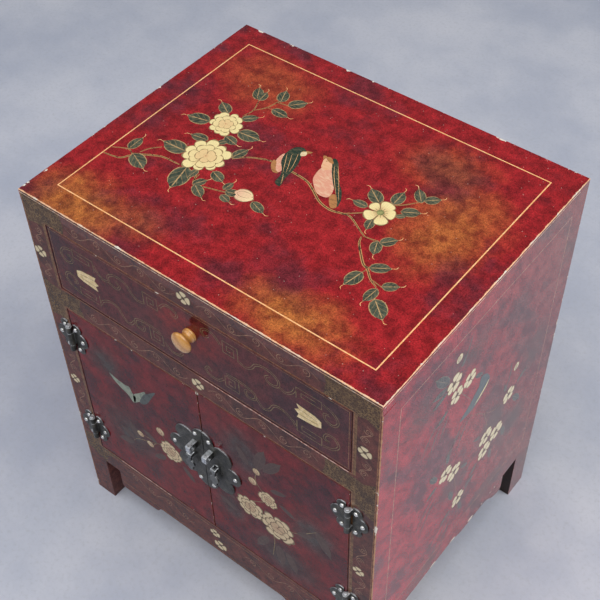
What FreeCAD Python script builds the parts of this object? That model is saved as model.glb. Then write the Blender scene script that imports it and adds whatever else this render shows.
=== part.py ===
import FreeCAD, Part
import math
import os
import Sketcher

# Lacquered bedside cabinet: one drawer over two doors, bracket feet, cast hinges and lock plate.
# Frame: X to the right, Y from the front to the back, Z up. The origin is on the floor, at the
# middle of the whole footprint, knob included. All lengths are millimetres.

DRIVING_SIZES = {
    # whole carcass
    "width": 460.0,
    "depth": 366.0,
    "height": 553.0,
    # boards
    "top_thickness": 15.0,
    "side_thickness": 15.0,
    "back_thickness": 6.0,
    "floor_thickness": 12.0,
    "dust_thickness": 9.0,
    # front frame: rails and drawer opening from the top down, and the sill under the doors
    "frame_thickness": 20.0,
    "stile_width": 32.0,
    "top_rail_height": 18.0,
    "drawer_opening": 97.0,
    "middle_rail_height": 33.0,
    "door_sill_height": 121.0,
    # joinery
    "housing_depth": 5.0,
    "rebate_width": 8.0,
    "tenon_length": 14.0,
    "tenon_thickness": 7.0,
    "tenon_shoulder": 4.0,
    "glue_gap": 0.1,
    "board_round": 1.2,
    "front_round": 0.8,
    # sawn lower edge of the front apron
    "apron_notch_height": 86.0,
    "apron_notch_width": 25.0,
    "apron_ear_height": 50.0,
    "apron_ear_round": 6.0,
    "apron_ear_width": 59.0,
    "apron_curve_run": 16.0,
    "apron_middle_height": 61.0,
    # sawn lower edge of the side panels
    "side_foot_width": 35.0,
    "side_notch_height": 87.0,
    "side_notch_width": 33.0,
    "side_ear_height": 58.0,
    "side_ear_round": 5.0,
    "side_first_run": 48.0,
    "side_step_height": 80.0,
    "side_step_width": 36.0,
    "side_second_run": 40.0,
    "side_arch_height": 89.0,
    "back_skirt": 20.0,
    "block_size": 26.0,
    "block_height": 18.0,
    # drawer
    "reveal": 1.0,
    "drawer_front_thickness": 18.0,
    "drawer_side_thickness": 12.0,
    "drawer_back_thickness": 10.0,
    "drawer_bottom_thickness": 5.0,
    "drawer_box_depth": 300.0,
    "drawer_top_gap": 5.0,
    "groove_depth": 5.0,
    "groove_height": 8.0,
    "slide_gap": 0.3,
    "runner_width": 34.0,
    "guide_height": 20.0,
    # doors, which meet a little to the left of the middle
    "seam_offset": -3.0,
    "door_thickness": 18.0,
    "meeting_bevel": 2.0,
    "stop_height": 14.0,
    "stop_depth": 16.0,
    # hinges
    "hinge_rise": 4.2,
    "upper_hinge_drop": 48.0,
    "lower_hinge_lift": 46.0,
    "plate_thickness": 1.5,
    "knuckle_radius": 3.6,
    "barrel_length": 40.0,
    "knuckle_gap": 0.3,
    "leaf_gap": 0.9,
    "pin_radius": 1.5,
    "fit": 0.05,
    "finial_radius": 2.6,
    "finial_height": 1.4,
    "leaf_tip_radius": 12.0,
    "leaf_tip_out": 11.5,
    "leaf_lobe_radius": 7.5,
    "leaf_lobe_out": 8.5,
    "leaf_lobe_up": 17.0,
    "leaf_tip_stud_out": 17.0,
    "stud_radius": 2.3,
    "stud_height": 1.7,
    # lock plate, as distances from its middle
    "lock_lift": 145.0,
    "lock_core_radius": 38.0,
    "lock_top_out": 38.0,
    "lock_top_radius": 16.0,
    "lock_corner_out": 26.0,
    "lock_corner_radius": 15.5,
    "lock_side_out": 39.0,
    "lock_side_radius": 14.0,
    "lock_stud_out": 10.0,
    "lock_stud_up": 43.0,
    "lock_side_stud_out": 45.5,
    # padlock staples
    "staple_out": 12.0,
    "staple_up": 23.0,
    "staple_thickness": 6.5,
    "staple_height": 10.5,
    "staple_reach": 13.0,
    "staple_hole_radius": 3.5,
    "staple_hole_back": 5.3,
    "staple_round": 1.2,
    # drop pulls
    "pull_out": 18.0,
    "pull_up": 1.0,
    "pull_rise": 4.5,
    "boss_radius": 4.8,
    "boss_height": 1.4,
    "cheek_thickness": 1.4,
    "pull_gap": 0.3,
    "pull_eye_radius": 2.4,
    "pull_pin_radius": 1.1,
    "pull_neck_width": 4.0,
    "pull_thickness": 2.4,
    "pull_body_drop": 16.0,
    "pull_body_radius": 6.4,
    "pull_foot_drop": 25.0,
    "pull_foot_radius": 3.6,
    # knob
    "knob_lift": 62.0,
    "knob_length": 18.0,
    "knob_head_radius": 12.6,
    "knob_head_height": 7.5,
    "knob_dome_height": 4.2,
    "knob_crown_radius": 5.0,
    "knob_shoulder_radius": 9.6,
    "knob_shoulder_drop": 1.9,
    "knob_stem_radius": 8.0,
    "knob_ring_depth": 1.2,
    "screw_radius": 2.0,
    "screw_bite": 11.0,
    "screw_head_radius": 4.5,
    "screw_head_height": 2.5,
}


class Size:
    """A length that carries its number and the sheet expression that gives it."""

    def __init__(self, value, text):
        self.value = float(value)
        self.text = text

    def __add__(self, other):
        other = as_size(other)
        return Size(self.value + other.value, f"({self.text} + {other.text})")

    def __sub__(self, other):
        other = as_size(other)
        return Size(self.value - other.value, f"({self.text} - {other.text})")

    def __mul__(self, other):
        other = as_size(other)
        return Size(self.value * other.value, f"({self.text} * {other.text})")

    def __truediv__(self, other):
        other = as_size(other)
        return Size(self.value / other.value, f"({self.text} / {other.text})")

    def __neg__(self):
        return Size(-self.value, f"(0 - {self.text})")

    def __rmul__(self, other):
        return as_size(other) * self


def as_size(number):
    """Wraps a plain number, and leaves a Size as it is."""
    if isinstance(number, Size):
        return number
    return Size(number, f"({number})")


doc = FreeCAD.newDocument("LacquerCabinet")
sheet = doc.addObject("Spreadsheet::Sheet", "Sizes")
size = {}
for row, (alias, number) in enumerate(DRIVING_SIZES.items(), start=1):
    sheet.set(f"A{row}", alias)
    sheet.set(f"B{row}", str(number))
    sheet.setAlias(f"B{row}", alias)
    size[alias] = Size(number, f"Sizes.{alias}")
doc.recompute()

ZERO = as_size(0)
LEFT = -1
RIGHT = 1
SIDES = {"left": LEFT, "right": RIGHT}
UPRIGHT = FreeCAD.Rotation()
AXIS_TURN = {
    "X": FreeCAD.Rotation(FreeCAD.Vector(0, 1, 0), 90),
    "Y": FreeCAD.Rotation(FreeCAD.Vector(1, 0, 0), -90),
    "Z": UPRIGHT,
}
OUT_OF_FRONT = FreeCAD.Rotation(FreeCAD.Vector(1, 0, 0), 90)
TOUCH = 1e-6
nodes = []


# Helpers: every size and place is bound to the sheet

def bind(feature, name, length):
    feature.setExpression(name, length.text)


def place(feature, corner, turn=UPRIGHT):
    feature.Placement = FreeCAD.Placement(FreeCAD.Vector(*[c.value for c in corner]), turn)
    for axis, length in zip("xyz", corner):
        bind(feature, f"Placement.Base.{axis}", length)


def new_body(label, is_node=True):
    body = doc.addObject("PartDesign::Body", label)
    body.Label = label
    if is_node:
        nodes.append(body)
    return body


def block(body, xs, ys, zs, cut=False):
    """Adds or cuts a box between two limits on each axis, given in any order."""
    kind = "PartDesign::SubtractiveBox" if cut else "PartDesign::AdditiveBox"
    box = body.newObject(kind, "Cut" if cut else "Block")
    limits = [sorted(map(as_size, pair), key=lambda s: s.value) for pair in (xs, ys, zs)]
    for name, (low, high) in zip(("Length", "Width", "Height"), limits):
        bind(box, name, high - low)
    place(box, [low for low, high in limits])
    return box


def rod(body, axis, start, length, radius, cut=False):
    """Adds or cuts a round bar that starts at a point and runs along an axis."""
    kind = "PartDesign::SubtractiveCylinder" if cut else "PartDesign::AdditiveCylinder"
    bar = body.newObject(kind, "Bore" if cut else "Rod")
    bind(bar, "Radius", radius)
    bind(bar, "Height", length)
    place(bar, [as_size(c) for c in start], AXIS_TURN[axis])
    return bar


def board(label, xs, ys, zs):
    body = new_body(label)
    block(body, xs, ys, zs)
    return body


def ease(body, radius, chosen):
    """Rounds the edges of a body whose middle point passes the test."""
    doc.recompute()
    base = body.Tip
    picked = [
        f"Edge{number}"
        for number, edge in enumerate(base.Shape.Edges, start=1)
        if chosen(edge.CenterOfMass, edge)
    ]
    fillet = body.newObject("PartDesign::Fillet", "EasedEdges")
    fillet.Base = (base, picked)
    bind(fillet, "Radius", radius)
    base.Visibility = False


def near(number, length):
    return abs(number - length.value) < TOUCH


def outline(body, plane_role, path):
    """Closed outline on one of the body's planes. A corner is (u, v), or (u, v, radius, turn) where
    an arc arrives: turn is 1 where it bends to the left, -1 where it bends to the right."""
    sketch = body.newObject("Sketcher::SketchObject", "Outline")
    plane = next(f for f in body.Origin.OriginFeatures if f.Role == plane_role)
    sketch.AttachmentSupport = [(plane, "")]
    sketch.MapMode = "FlatFace"
    corners = [tuple(map(as_size, corner[:2])) for corner in path]
    edges = []
    for number, corner in enumerate(path):
        first = corners[number - 1]
        last = corners[number]
        start = FreeCAD.Vector(first[0].value, first[1].value, 0)
        end = FreeCAD.Vector(last[0].value, last[1].value, 0)
        if len(corner) == 2:
            edges.append((sketch.addGeometry(Part.LineSegment(start, end)), 1, 2, first))
            continue
        radius, turn = corner[2:]
        edges.append(add_arc(sketch, start, end, radius, turn) + (first,))
    for number, (edge, start_point, end_point, first) in enumerate(edges):
        before = edges[number - 1]
        sketch.addConstraint(Sketcher.Constraint("Coincident", before[0], before[2], edge, start_point))
        for kind, length in zip(("DistanceX", "DistanceY"), first):
            fixed = sketch.addConstraint(Sketcher.Constraint(kind, edge, start_point, length.value))
            sketch.setExpression(f"Constraints[{fixed}]", length.text)
    return sketch


def add_arc(sketch, start, end, radius, turn):
    chord = end - start
    half = chord.Length / 2
    to_left = FreeCAD.Vector(-chord.y, chord.x, 0).normalize()
    centre = (start + end) / 2 + to_left * (turn * math.sqrt(max(radius.value ** 2 - half ** 2, 0)))
    circle = Part.Circle(centre, FreeCAD.Vector(0, 0, 1), radius.value)
    angles = [math.atan2(p.y - centre.y, p.x - centre.x) for p in (start, end)]
    if turn < 0:
        angles.reverse()
    edge = sketch.addGeometry(Part.ArcOfCircle(circle, *angles))
    fixed = sketch.addConstraint(Sketcher.Constraint("Radius", edge, radius.value))
    sketch.setExpression(f"Constraints[{fixed}]", radius.text)
    return (edge, 1, 2) if turn > 0 else (edge, 2, 1)


def pad(body, sketch, length, reverse=False):
    feature = body.newObject("PartDesign::Pad", "Pad")
    feature.Profile = sketch
    bind(feature, "Length", length)
    feature.Reversed = reverse
    sketch.Visibility = False


def ogee(start, end):
    """Two corners that carry an S-curve, level at both ends, from one point to the other."""
    run = end[0] - start[0]
    rise = end[1] - start[1]
    radius = (run * run + rise * rise) / (4 * rise)
    turn = 1 if run.value * rise.value > 0 else -1
    if radius.value < 0:
        radius = -radius
    middle = (start[0] + run / 2, start[1] + rise / 2)
    return [middle + (radius, turn), tuple(end) + (radius, -turn)]


# Main levels and planes, worked out from the driving sizes

half_width = size["width"] / 2
front = (size["knob_length"] - size["depth"]) / 2
back = front + size["depth"]
frame_back = front + size["frame_thickness"]
inner_back = back - size["back_thickness"]
inner_half = half_width - size["side_thickness"]
opening_half = half_width - size["stile_width"]

top_underside = size["height"] - size["top_thickness"]
drawer_top = top_underside - size["top_rail_height"]
drawer_sill = drawer_top - size["drawer_opening"]
door_top = drawer_sill - size["middle_rail_height"]
door_sill = size["door_sill_height"]
floor_underside = door_sill - size["floor_thickness"]
back_lower_edge = floor_underside - size["back_skirt"]
runner_base = door_top + size["dust_thickness"]

plate_face = front - size["plate_thickness"]
hinge_line = front - size["hinge_rise"]
hinge_levels = {
    "upper": door_top - size["upper_hinge_drop"],
    "lower": door_sill + size["lower_hinge_lift"],
}
lock_middle = door_sill + size["lock_lift"]
seam = size["seam_offset"]


# Carcass boards

def top_panel():
    body = board("top_panel", (-half_width, half_width), (front, back), (top_underside, size["height"]))
    ease(body, size["board_round"], lambda p, e: near(p.z, size["height"]))


def side_panel(name, side):
    """Board with the feet sawn in one piece, housed for the floor, the dust board and the back."""
    body = new_body(f"{name}_side_panel")
    foot_back = back - size["side_foot_width"]
    foot_front = front + size["side_foot_width"]
    ear = foot_back - size["side_notch_width"]
    ear_low = (ear - size["side_ear_round"], size["side_ear_height"])
    step = (ear_low[0] - size["side_first_run"], size["side_step_height"])
    step_end = (step[0] - size["side_step_width"], size["side_step_height"])
    arch = (step_end[0] - size["side_second_run"], size["side_arch_height"])
    path = [
        (frame_back, top_underside),
        (frame_back, ZERO),
        (foot_front, ZERO),
        (foot_front, size["side_arch_height"]),
        arch,
        *ogee(arch, step_end),
        step,
        *ogee(step, ear_low),
        (ear, size["side_ear_height"] + size["side_ear_round"], size["side_ear_round"], 1),
        (ear, size["side_notch_height"]),
        (foot_back, size["side_notch_height"]),
        (foot_back, ZERO),
        (back, ZERO),
        (back, top_underside),
    ]
    sketch = outline(body, "YZ_Plane", path)
    outer_face = side * half_width
    sketch.AttachmentOffset = FreeCAD.Placement(FreeCAD.Vector(0, 0, outer_face.value), UPRIGHT)
    bind(sketch, "AttachmentOffset.Base.z", outer_face)
    pad(body, sketch, size["side_thickness"], reverse=side == RIGHT)
    housed = (side * inner_half, side * (inner_half + size["housing_depth"]))
    block(body, housed, (frame_back, inner_back), (floor_underside, door_sill), cut=True)
    block(body, housed, (frame_back, inner_back), (door_top, runner_base), cut=True)
    rebate = (side * inner_half, side * (inner_half + size["rebate_width"]))
    block(body, rebate, (inner_back, back), (back_lower_edge, top_underside), cut=True)


def inner_boards():
    reach = inner_half + size["housing_depth"] - size["glue_gap"]
    board("cupboard_floor", (-reach, reach), (frame_back, inner_back), (floor_underside, door_sill))
    board("dust_board", (-reach, reach), (frame_back, inner_back), (door_top, runner_base))
    reach = inner_half + size["rebate_width"] - size["glue_gap"]
    board("back_panel", (-reach, reach), (inner_back, back), (back_lower_edge, top_underside))


def tenon_limits(low, high):
    """Depth and height of the tenon of a rail between two levels."""
    middle = front + size["frame_thickness"] / 2
    half = size["tenon_thickness"] / 2
    return (middle - half, middle + half), (low + size["tenon_shoulder"], high - size["tenon_shoulder"])


RAIL_LEVELS = {
    "top_rail": (drawer_top, top_underside),
    "middle_rail": (door_top, drawer_sill),
    "front_apron": (size["apron_notch_height"], door_sill),
}


def add_tenons(body, low, high):
    ys, zs = tenon_limits(low, high)
    end = opening_half + size["tenon_length"] - size["glue_gap"]
    for side in SIDES.values():
        block(body, (side * opening_half, side * end), ys, zs)


def plain_rail(label):
    low, high = RAIL_LEVELS[label]
    body = board(label, (-opening_half, opening_half), (front, frame_back), (low, high))
    add_tenons(body, low, high)


def front_apron():
    """Rail under the doors, with a notch beside each foot and a shallow raised middle."""
    body = new_body("front_apron")
    low, high = RAIL_LEVELS["front_apron"]
    ear_edge = opening_half - size["apron_notch_width"]
    ear_top = size["apron_ear_height"] + size["apron_ear_round"]
    ear_out = ear_edge - size["apron_ear_round"]
    ear_in = ear_edge - size["apron_ear_width"]
    flat = ear_in - size["apron_curve_run"]
    ear_low = size["apron_ear_height"]
    middle = size["apron_middle_height"]
    path = [
        (-opening_half, high),
        (-opening_half, low),
        (-ear_edge, low),
        (-ear_edge, ear_top),
        (-ear_out, ear_low, size["apron_ear_round"], 1),
        (-ear_in, ear_low),
        *ogee((-ear_in, ear_low), (-flat, middle)),
        (flat, middle),
        *ogee((flat, middle), (ear_in, ear_low)),
        (ear_out, ear_low),
        (ear_edge, ear_top, size["apron_ear_round"], 1),
        (ear_edge, low),
        (opening_half, low),
        (opening_half, high),
    ]
    sketch = outline(body, "XZ_Plane", path)
    sketch.AttachmentOffset = FreeCAD.Placement(FreeCAD.Vector(0, 0, -front.value), UPRIGHT)
    bind(sketch, "AttachmentOffset.Base.z", -front)
    pad(body, sketch, size["frame_thickness"], reverse=True)
    add_tenons(body, low, high)


def stile(name, side):
    body = board(
        f"{name}_stile",
        (side * opening_half, side * half_width),
        (front, frame_back),
        (ZERO, top_underside),
    )
    mortise = (side * opening_half, side * (opening_half + size["tenon_length"]))
    for low, high in RAIL_LEVELS.values():
        ys, zs = tenon_limits(low, high)
        block(body, mortise, ys, zs, cut=True)
    outer = side * half_width
    ease(body, size["board_round"], lambda p, e: near(p.x, outer) and near(p.y, front))


def drawer_bearers(name, side):
    """Runner under the drawer side, guide beside it and kicker above it."""
    ys = (frame_back, inner_back)
    wide = (side * (inner_half - size["runner_width"]), side * inner_half)
    board(f"{name}_drawer_runner", wide, ys, (runner_base, drawer_sill))
    beside = (side * opening_half, side * inner_half)
    board(f"{name}_drawer_guide", beside, ys, (drawer_sill, drawer_sill + size["guide_height"]))
    board(f"{name}_drawer_kicker", wide, ys, (drawer_top, top_underside))


def door_stop():
    front_face = front + size["door_thickness"] + size["slide_gap"]
    ys = (front_face, front_face + size["stop_depth"])
    body = board("door_stop", (-opening_half, opening_half), ys, (door_top - size["stop_height"], door_top))
    rear = front_face + size["stop_depth"]
    low = door_top - size["stop_height"]
    ease(body, size["board_round"], lambda p, e: near(p.y, rear) and near(p.z, low))


def group(label, members):
    compound = doc.addObject("Part::Compound", label)
    compound.Label = label
    compound.Links = members
    nodes.append(compound)


def glue_blocks():
    blocks = []
    for side in SIDES.values():
        for face, step in ((frame_back, 1), (inner_back, -1)):
            piece = doc.addObject("Part::Box", "GlueBlock")
            low_x = inner_half - size["block_size"] if side == RIGHT else -inner_half
            low_y = face if step > 0 else face - size["block_size"]
            bind(piece, "Length", size["block_size"])
            bind(piece, "Width", size["block_size"])
            bind(piece, "Height", size["block_height"])
            place(piece, (low_x, low_y, floor_underside - size["block_height"]))
            blocks.append(piece)
    group("glue_blocks", blocks)


# Drawer

drawer_half = opening_half - size["reveal"]
drawer_base = drawer_sill + size["slide_gap"]
drawer_side_top = drawer_top - size["drawer_top_gap"]
drawer_front_back = front + size["drawer_front_thickness"]
drawer_rear = drawer_front_back + size["drawer_box_depth"]
drawer_inner_half = drawer_half - size["drawer_side_thickness"]
groove_low = drawer_base + size["groove_height"]
groove_high = groove_low + size["drawer_bottom_thickness"]
groove_reach = drawer_inner_half + size["groove_depth"]
knob_level = drawer_sill + size["knob_lift"]
screw_bore = size["screw_radius"] + size["fit"]


def drawer_front():
    zs = (drawer_sill + size["reveal"], drawer_top - size["reveal"])
    body = board("drawer_front", (-drawer_half, drawer_half), (front, drawer_front_back), zs)
    ease(body, size["front_round"], lambda p, e: near(p.y, front))
    groove = (drawer_front_back - size["groove_depth"], drawer_front_back)
    block(body, (-drawer_inner_half, drawer_inner_half), groove, (groove_low, groove_high), cut=True)
    rod(body, "Y", (0, front, knob_level), size["drawer_front_thickness"], screw_bore, cut=True)


def drawer_side(name, side):
    xs = (side * drawer_inner_half, side * drawer_half)
    body = board(f"drawer_{name}_side", xs, (drawer_front_back, drawer_rear), (drawer_base, drawer_side_top))
    grooved = (side * drawer_inner_half, side * groove_reach)
    block(body, grooved, (drawer_front_back, drawer_rear), (groove_low, groove_high), cut=True)


def drawer_back_and_bottom():
    face = drawer_rear - size["drawer_back_thickness"]
    xs = (-drawer_inner_half, drawer_inner_half)
    board("drawer_back", xs, (face, drawer_rear), (groove_high, drawer_side_top))
    reach = groove_reach - size["glue_gap"]
    front_edge = drawer_front_back - size["groove_depth"] + size["glue_gap"]
    body = board("drawer_bottom", (-reach, reach), (front_edge, drawer_rear), (groove_low, groove_high))
    corner = (reach, drawer_inner_half)
    for side in SIDES.values():
        ear = (side * corner[0], side * corner[1])
        block(body, ear, (front_edge, drawer_front_back), (groove_low, groove_high), cut=True)


def knob():
    """Turned mushroom knob: collared stem and a crowned head, revolved about the screw line."""
    body = new_body("knob")
    stem = size["knob_stem_radius"]
    neck = stem - size["knob_ring_depth"]
    head = size["knob_head_radius"]
    tip = size["knob_length"]
    head_base = tip - size["knob_head_height"]
    rim = tip - size["knob_dome_height"]
    ring = head_base / 3
    path = [
        (ZERO, ZERO),
        (ZERO, -tip),
        (size["knob_crown_radius"], -tip),
        (size["knob_shoulder_radius"], -(tip - size["knob_shoulder_drop"])),
        (head, -rim),
        (neck, -head_base),
        (neck, -(ring * 2)),
        (stem, -(ring * 2)),
        (stem, ZERO),
    ]
    sketch = outline(body, "XY_Plane", path)
    turned = body.newObject("PartDesign::Revolution", "Turned")
    turned.Profile = sketch
    turned.ReferenceAxis = (sketch, ["V_Axis"])
    turned.Angle = 360
    sketch.Visibility = False
    rod(body, "Y", (0, -size["screw_bite"], 0), size["screw_bite"], screw_bore, cut=True)
    place(body, (ZERO, front, knob_level))


def knob_screw():
    body = new_body("knob_screw")
    start = front - size["screw_bite"] + size["glue_gap"]
    rod(body, "Y", (0, start, knob_level), drawer_front_back - start, size["screw_radius"])
    rod(body, "Y", (0, drawer_front_back, knob_level), size["screw_head_height"], size["screw_head_radius"])


# Doors

def door_panel(name, side):
    """Flat inset door. Its meeting edge is planed back so that it clears its partner."""
    body = new_body(f"{name}_door_panel")
    rear = front + size["door_thickness"]
    hinge_edge = side * (opening_half - size["reveal"])
    meeting = seam + side * (size["reveal"] / 2)
    bevelled = meeting + side * size["meeting_bevel"]
    path = [(hinge_edge, front), (meeting, front), (bevelled, rear), (hinge_edge, rear)]
    sketch = outline(body, "XY_Plane", path)
    low = door_sill + size["reveal"]
    sketch.AttachmentOffset = FreeCAD.Placement(FreeCAD.Vector(0, 0, low.value), UPRIGHT)
    bind(sketch, "AttachmentOffset.Base.z", low)
    pad(body, sketch, door_top - size["reveal"] - low)
    ease(body, size["front_round"], lambda p, e: near(p.y, front))


# Hinges: lobed leaves on a common pin

knuckle_end = size["barrel_length"] / 4
knuckle_bore = size["pin_radius"] + size["fit"]
leaf_edge = size["knuckle_radius"] + size["leaf_gap"]
STUD_FACETS = 8


def hinge_leaf(label, axis_x, out, level, spans):
    """Cast leaf: three lobes on the face, with a knuckle on the pin at each given span of heights."""
    body = new_body(label, is_node=False)

    def lobe(across, up, radius):
        centre = (axis_x + out * across, plate_face, level + up)
        rod(body, "Y", centre, size["plate_thickness"], radius)

    lobe_up = size["leaf_lobe_up"]
    lobe(size["leaf_tip_out"], ZERO, size["leaf_tip_radius"])
    lobe(size["leaf_lobe_out"], lobe_up, size["leaf_lobe_radius"])
    lobe(size["leaf_lobe_out"], -lobe_up, size["leaf_lobe_radius"])
    web = (axis_x + out * leaf_edge, axis_x + out * size["leaf_tip_out"])
    block(body, web, (plate_face, front), (level - lobe_up, level + lobe_up))
    beyond = 2 * size["barrel_length"]
    block(body, (axis_x - out * beyond, axis_x + out * leaf_edge), (plate_face, front),
          (level - beyond, level + beyond), cut=True)
    for low, high in spans:
        zs = (level + low, level + high)
        block(body, (axis_x, axis_x + out * size["leaf_lobe_out"]), (plate_face, front), zs)
        block(body, (axis_x, axis_x + out * size["knuckle_radius"]), (hinge_line, front), zs)
        rod(body, "Z", (axis_x, hinge_line, level + low), high - low, size["knuckle_radius"])
    rod(body, "Z", (axis_x, hinge_line, level - size["barrel_length"] / 2), size["barrel_length"],
        knuckle_bore, cut=True)
    return body


def hinge(name, side, row):
    """One hinge: the leaf on the frame, the leaf on the door and the headed pin through both."""
    level = hinge_levels[row]
    axis_x = side * opening_half
    end = size["barrel_length"] / 2
    inner = end - knuckle_end
    gap = size["knuckle_gap"]
    outer_spans = [(-end, -inner - gap), (inner + gap, end)]
    frame_leaf = hinge_leaf(f"{row}_{name}_frame_leaf", axis_x, side, level, outer_spans)
    door_leaf = hinge_leaf(f"{row}_{name}_door_leaf", axis_x, -side, level, [(-inner, inner)])
    pin = new_body(f"{row}_{name}_pin", is_node=False)
    head = size["finial_height"]
    start = level - end - gap
    length = (end + gap) * 2
    rod(pin, "Z", (axis_x, hinge_line, start), length, size["pin_radius"])
    rod(pin, "Z", (axis_x, hinge_line, start - head), head, size["finial_radius"])
    rod(pin, "Z", (axis_x, hinge_line, start + length), head, size["finial_radius"])
    return frame_leaf, door_leaf, pin


def studs(label, places):
    """Forged nail heads standing on the face of the plates."""
    heads = []
    for across, level in places:
        head = doc.addObject("Part::Prism", "Stud")
        head.Polygon = STUD_FACETS
        bind(head, "Circumradius", size["stud_radius"])
        bind(head, "Height", size["stud_height"])
        place(head, (across, plate_face, level), OUT_OF_FRONT)
        heads.append(head)
    group(label, heads)


def leaf_stud_places(side, out):
    """Three studs on each leaf of both hinges on one side."""
    places = []
    for level in hinge_levels.values():
        axis_x = side * opening_half
        places.append((axis_x + out * size["leaf_tip_stud_out"], level))
        for way in (-1, 1):
            places.append((axis_x + out * size["leaf_lobe_out"], level + way * size["leaf_lobe_up"]))
    return places


# Lock plate, staples and drop pulls

def lock_plate(name, side):
    """Half of the round plate: eight lobes about a round middle, parted at the seam of the doors."""
    body = new_body(f"{name}_lock_plate")

    def lobe(across, up, radius):
        centre = (seam + side * across, plate_face, lock_middle + up)
        rod(body, "Y", centre, size["plate_thickness"], radius)

    corner = size["lock_corner_out"]
    lobe(ZERO, ZERO, size["lock_core_radius"])
    lobe(size["lock_side_out"], ZERO, size["lock_side_radius"])
    for way in (-1, 1):
        lobe(ZERO, way * size["lock_top_out"], size["lock_top_radius"])
        lobe(corner, way * corner, size["lock_corner_radius"])
    beyond = 2 * size["lock_core_radius"]
    parting = seam + side * (size["reveal"] / 2)
    zs = (lock_middle - beyond, lock_middle + beyond)
    block(body, (parting, parting - side * beyond), (plate_face, front), zs, cut=True)


def lock_stud_places(side):
    places = [(seam + side * size["lock_side_stud_out"], lock_middle)]
    for way in (-1, 1):
        places.append((seam + side * size["lock_stud_out"], lock_middle + way * size["lock_stud_up"]))
    return places


def lock_staple(name, side):
    """Square lug with a cross hole for the bar of a padlock."""
    body = new_body(f"{name}_lock_staple")
    near_x = seam + side * size["staple_out"] - size["staple_thickness"] / 2
    level = lock_middle + size["staple_up"]
    half = size["staple_height"] / 2
    nose = plate_face - size["staple_reach"]
    xs = (near_x, near_x + size["staple_thickness"])
    block(body, xs, (nose, plate_face), (level - half, level + half))
    ease(body, size["staple_round"], lambda p, e: near(p.y, nose) and not near(p.z, level))
    eye = (near_x, nose + size["staple_hole_back"], level)
    rod(body, "X", eye, size["staple_thickness"], size["staple_hole_radius"], cut=True)


pull_level = lock_middle + size["pull_up"]
boss_face = plate_face - size["boss_height"]
pull_line = boss_face - size["pull_rise"]
neck_half = size["pull_neck_width"] / 2


def pull_post(name, side):
    """Boss with two cheeks and the cross pin that the pull hangs on."""
    body = new_body(f"{name}_pull_post")
    middle = seam + side * size["pull_out"]
    inner = neck_half + size["pull_gap"]
    outer = inner + size["cheek_thickness"]
    eye = size["pull_eye_radius"]
    rod(body, "Y", (middle, boss_face, pull_level), size["boss_height"], size["boss_radius"])
    for way in (-1, 1):
        xs = (middle + way * inner, middle + way * outer)
        block(body, xs, (pull_line, boss_face), (pull_level - eye, pull_level + eye))
        start = middle + way * inner if way > 0 else middle - outer
        rod(body, "X", (start, pull_line, pull_level), size["cheek_thickness"], eye)
    rod(body, "X", (middle - outer, pull_line, pull_level), outer * 2, size["pull_pin_radius"])


def drop_pull(name, side):
    """Cast drop: an eye on the pin, a narrow neck, a broad lobed body and a small foot."""
    body = new_body(f"{name}_drop_pull")
    middle = seam + side * size["pull_out"]
    half = size["pull_thickness"] / 2
    face = pull_line - half

    def lobe(across, drop, radius):
        rod(body, "Y", (middle + across, face, pull_level - drop), size["pull_thickness"], radius)

    eye_end = (middle - neck_half, pull_line, pull_level)
    rod(body, "X", eye_end, size["pull_neck_width"], size["pull_eye_radius"])
    block(body, (middle - neck_half, middle + neck_half), (face, face + size["pull_thickness"]),
          (pull_level - size["pull_foot_drop"], pull_level))
    lobe(ZERO, size["pull_body_drop"], size["pull_body_radius"])
    lobe(ZERO, size["pull_foot_drop"], size["pull_foot_radius"])
    rod(body, "X", eye_end, size["pull_neck_width"], size["pull_pin_radius"] + size["fit"], cut=True)


# Assembly

top_panel()
inner_boards()
plain_rail("top_rail")
plain_rail("middle_rail")
front_apron()
door_stop()
glue_blocks()
drawer_front()
drawer_back_and_bottom()
knob()
knob_screw()
frame_leaves = []
hinge_pins = []
frame_stud_places = []
for side_name, way in SIDES.items():
    side_panel(side_name, way)
    stile(side_name, way)
    drawer_bearers(side_name, way)
    drawer_side(side_name, way)
    door_panel(side_name, way)
    door_leaves = []
    for hinge_row in hinge_levels:
        frame_leaf, door_leaf, pin = hinge(side_name, way, hinge_row)
        frame_leaves.append(frame_leaf)
        door_leaves.append(door_leaf)
        hinge_pins.append(pin)
    group(f"{side_name}_door_leaves", door_leaves)
    lock_plate(side_name, way)
    lock_staple(side_name, way)
    pull_post(side_name, way)
    drop_pull(side_name, way)
    frame_stud_places += leaf_stud_places(way, way)
    studs(f"{side_name}_door_studs", leaf_stud_places(way, -way) + lock_stud_places(way))
group("frame_hinge_leaves", frame_leaves)
group("hinge_pins", hinge_pins)
studs("frame_hinge_studs", frame_stud_places)
doc.recompute()

# Nothing is written unless every feature is sound

for item in doc.Objects:
    if {"Invalid", "Error"} & set(item.State):
        raise RuntimeError(f"{item.Label} failed: {item.State}")
for node in nodes:
    if node.Shape.isNull() or not node.Shape.isValid():
        raise RuntimeError(f"{node.Label} has no sound shape")

os.makedirs("parts", exist_ok=True)
for node in nodes:
    node.Shape.exportStep(f"parts/{node.Label}.step")
    print(f"{node.Label}: {len(node.Shape.Solids)} solid(s), {node.Shape.Volume / 1000:.2f} cm3")
print(f"{len(nodes)} nodes")
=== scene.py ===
# %% [markdown]
# # A red lacquer cabinet
# The real cabinet is a small bedside chest: one drawer over two doors, in cloudy red lacquer with birds
# and peonies painted over it, and cast bronze hinges. The CAD frame already holds every board, hinge leaf
# and moving part, so this lesson only dresses it: it finishes the lacquer, lays the painting on in thin
# raised layers, recasts the hardware with soft edges and turns the knob.

# %% Load the frame
import math
import random

import bmesh
import bpy
from mathutils import Matrix, Vector


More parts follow.
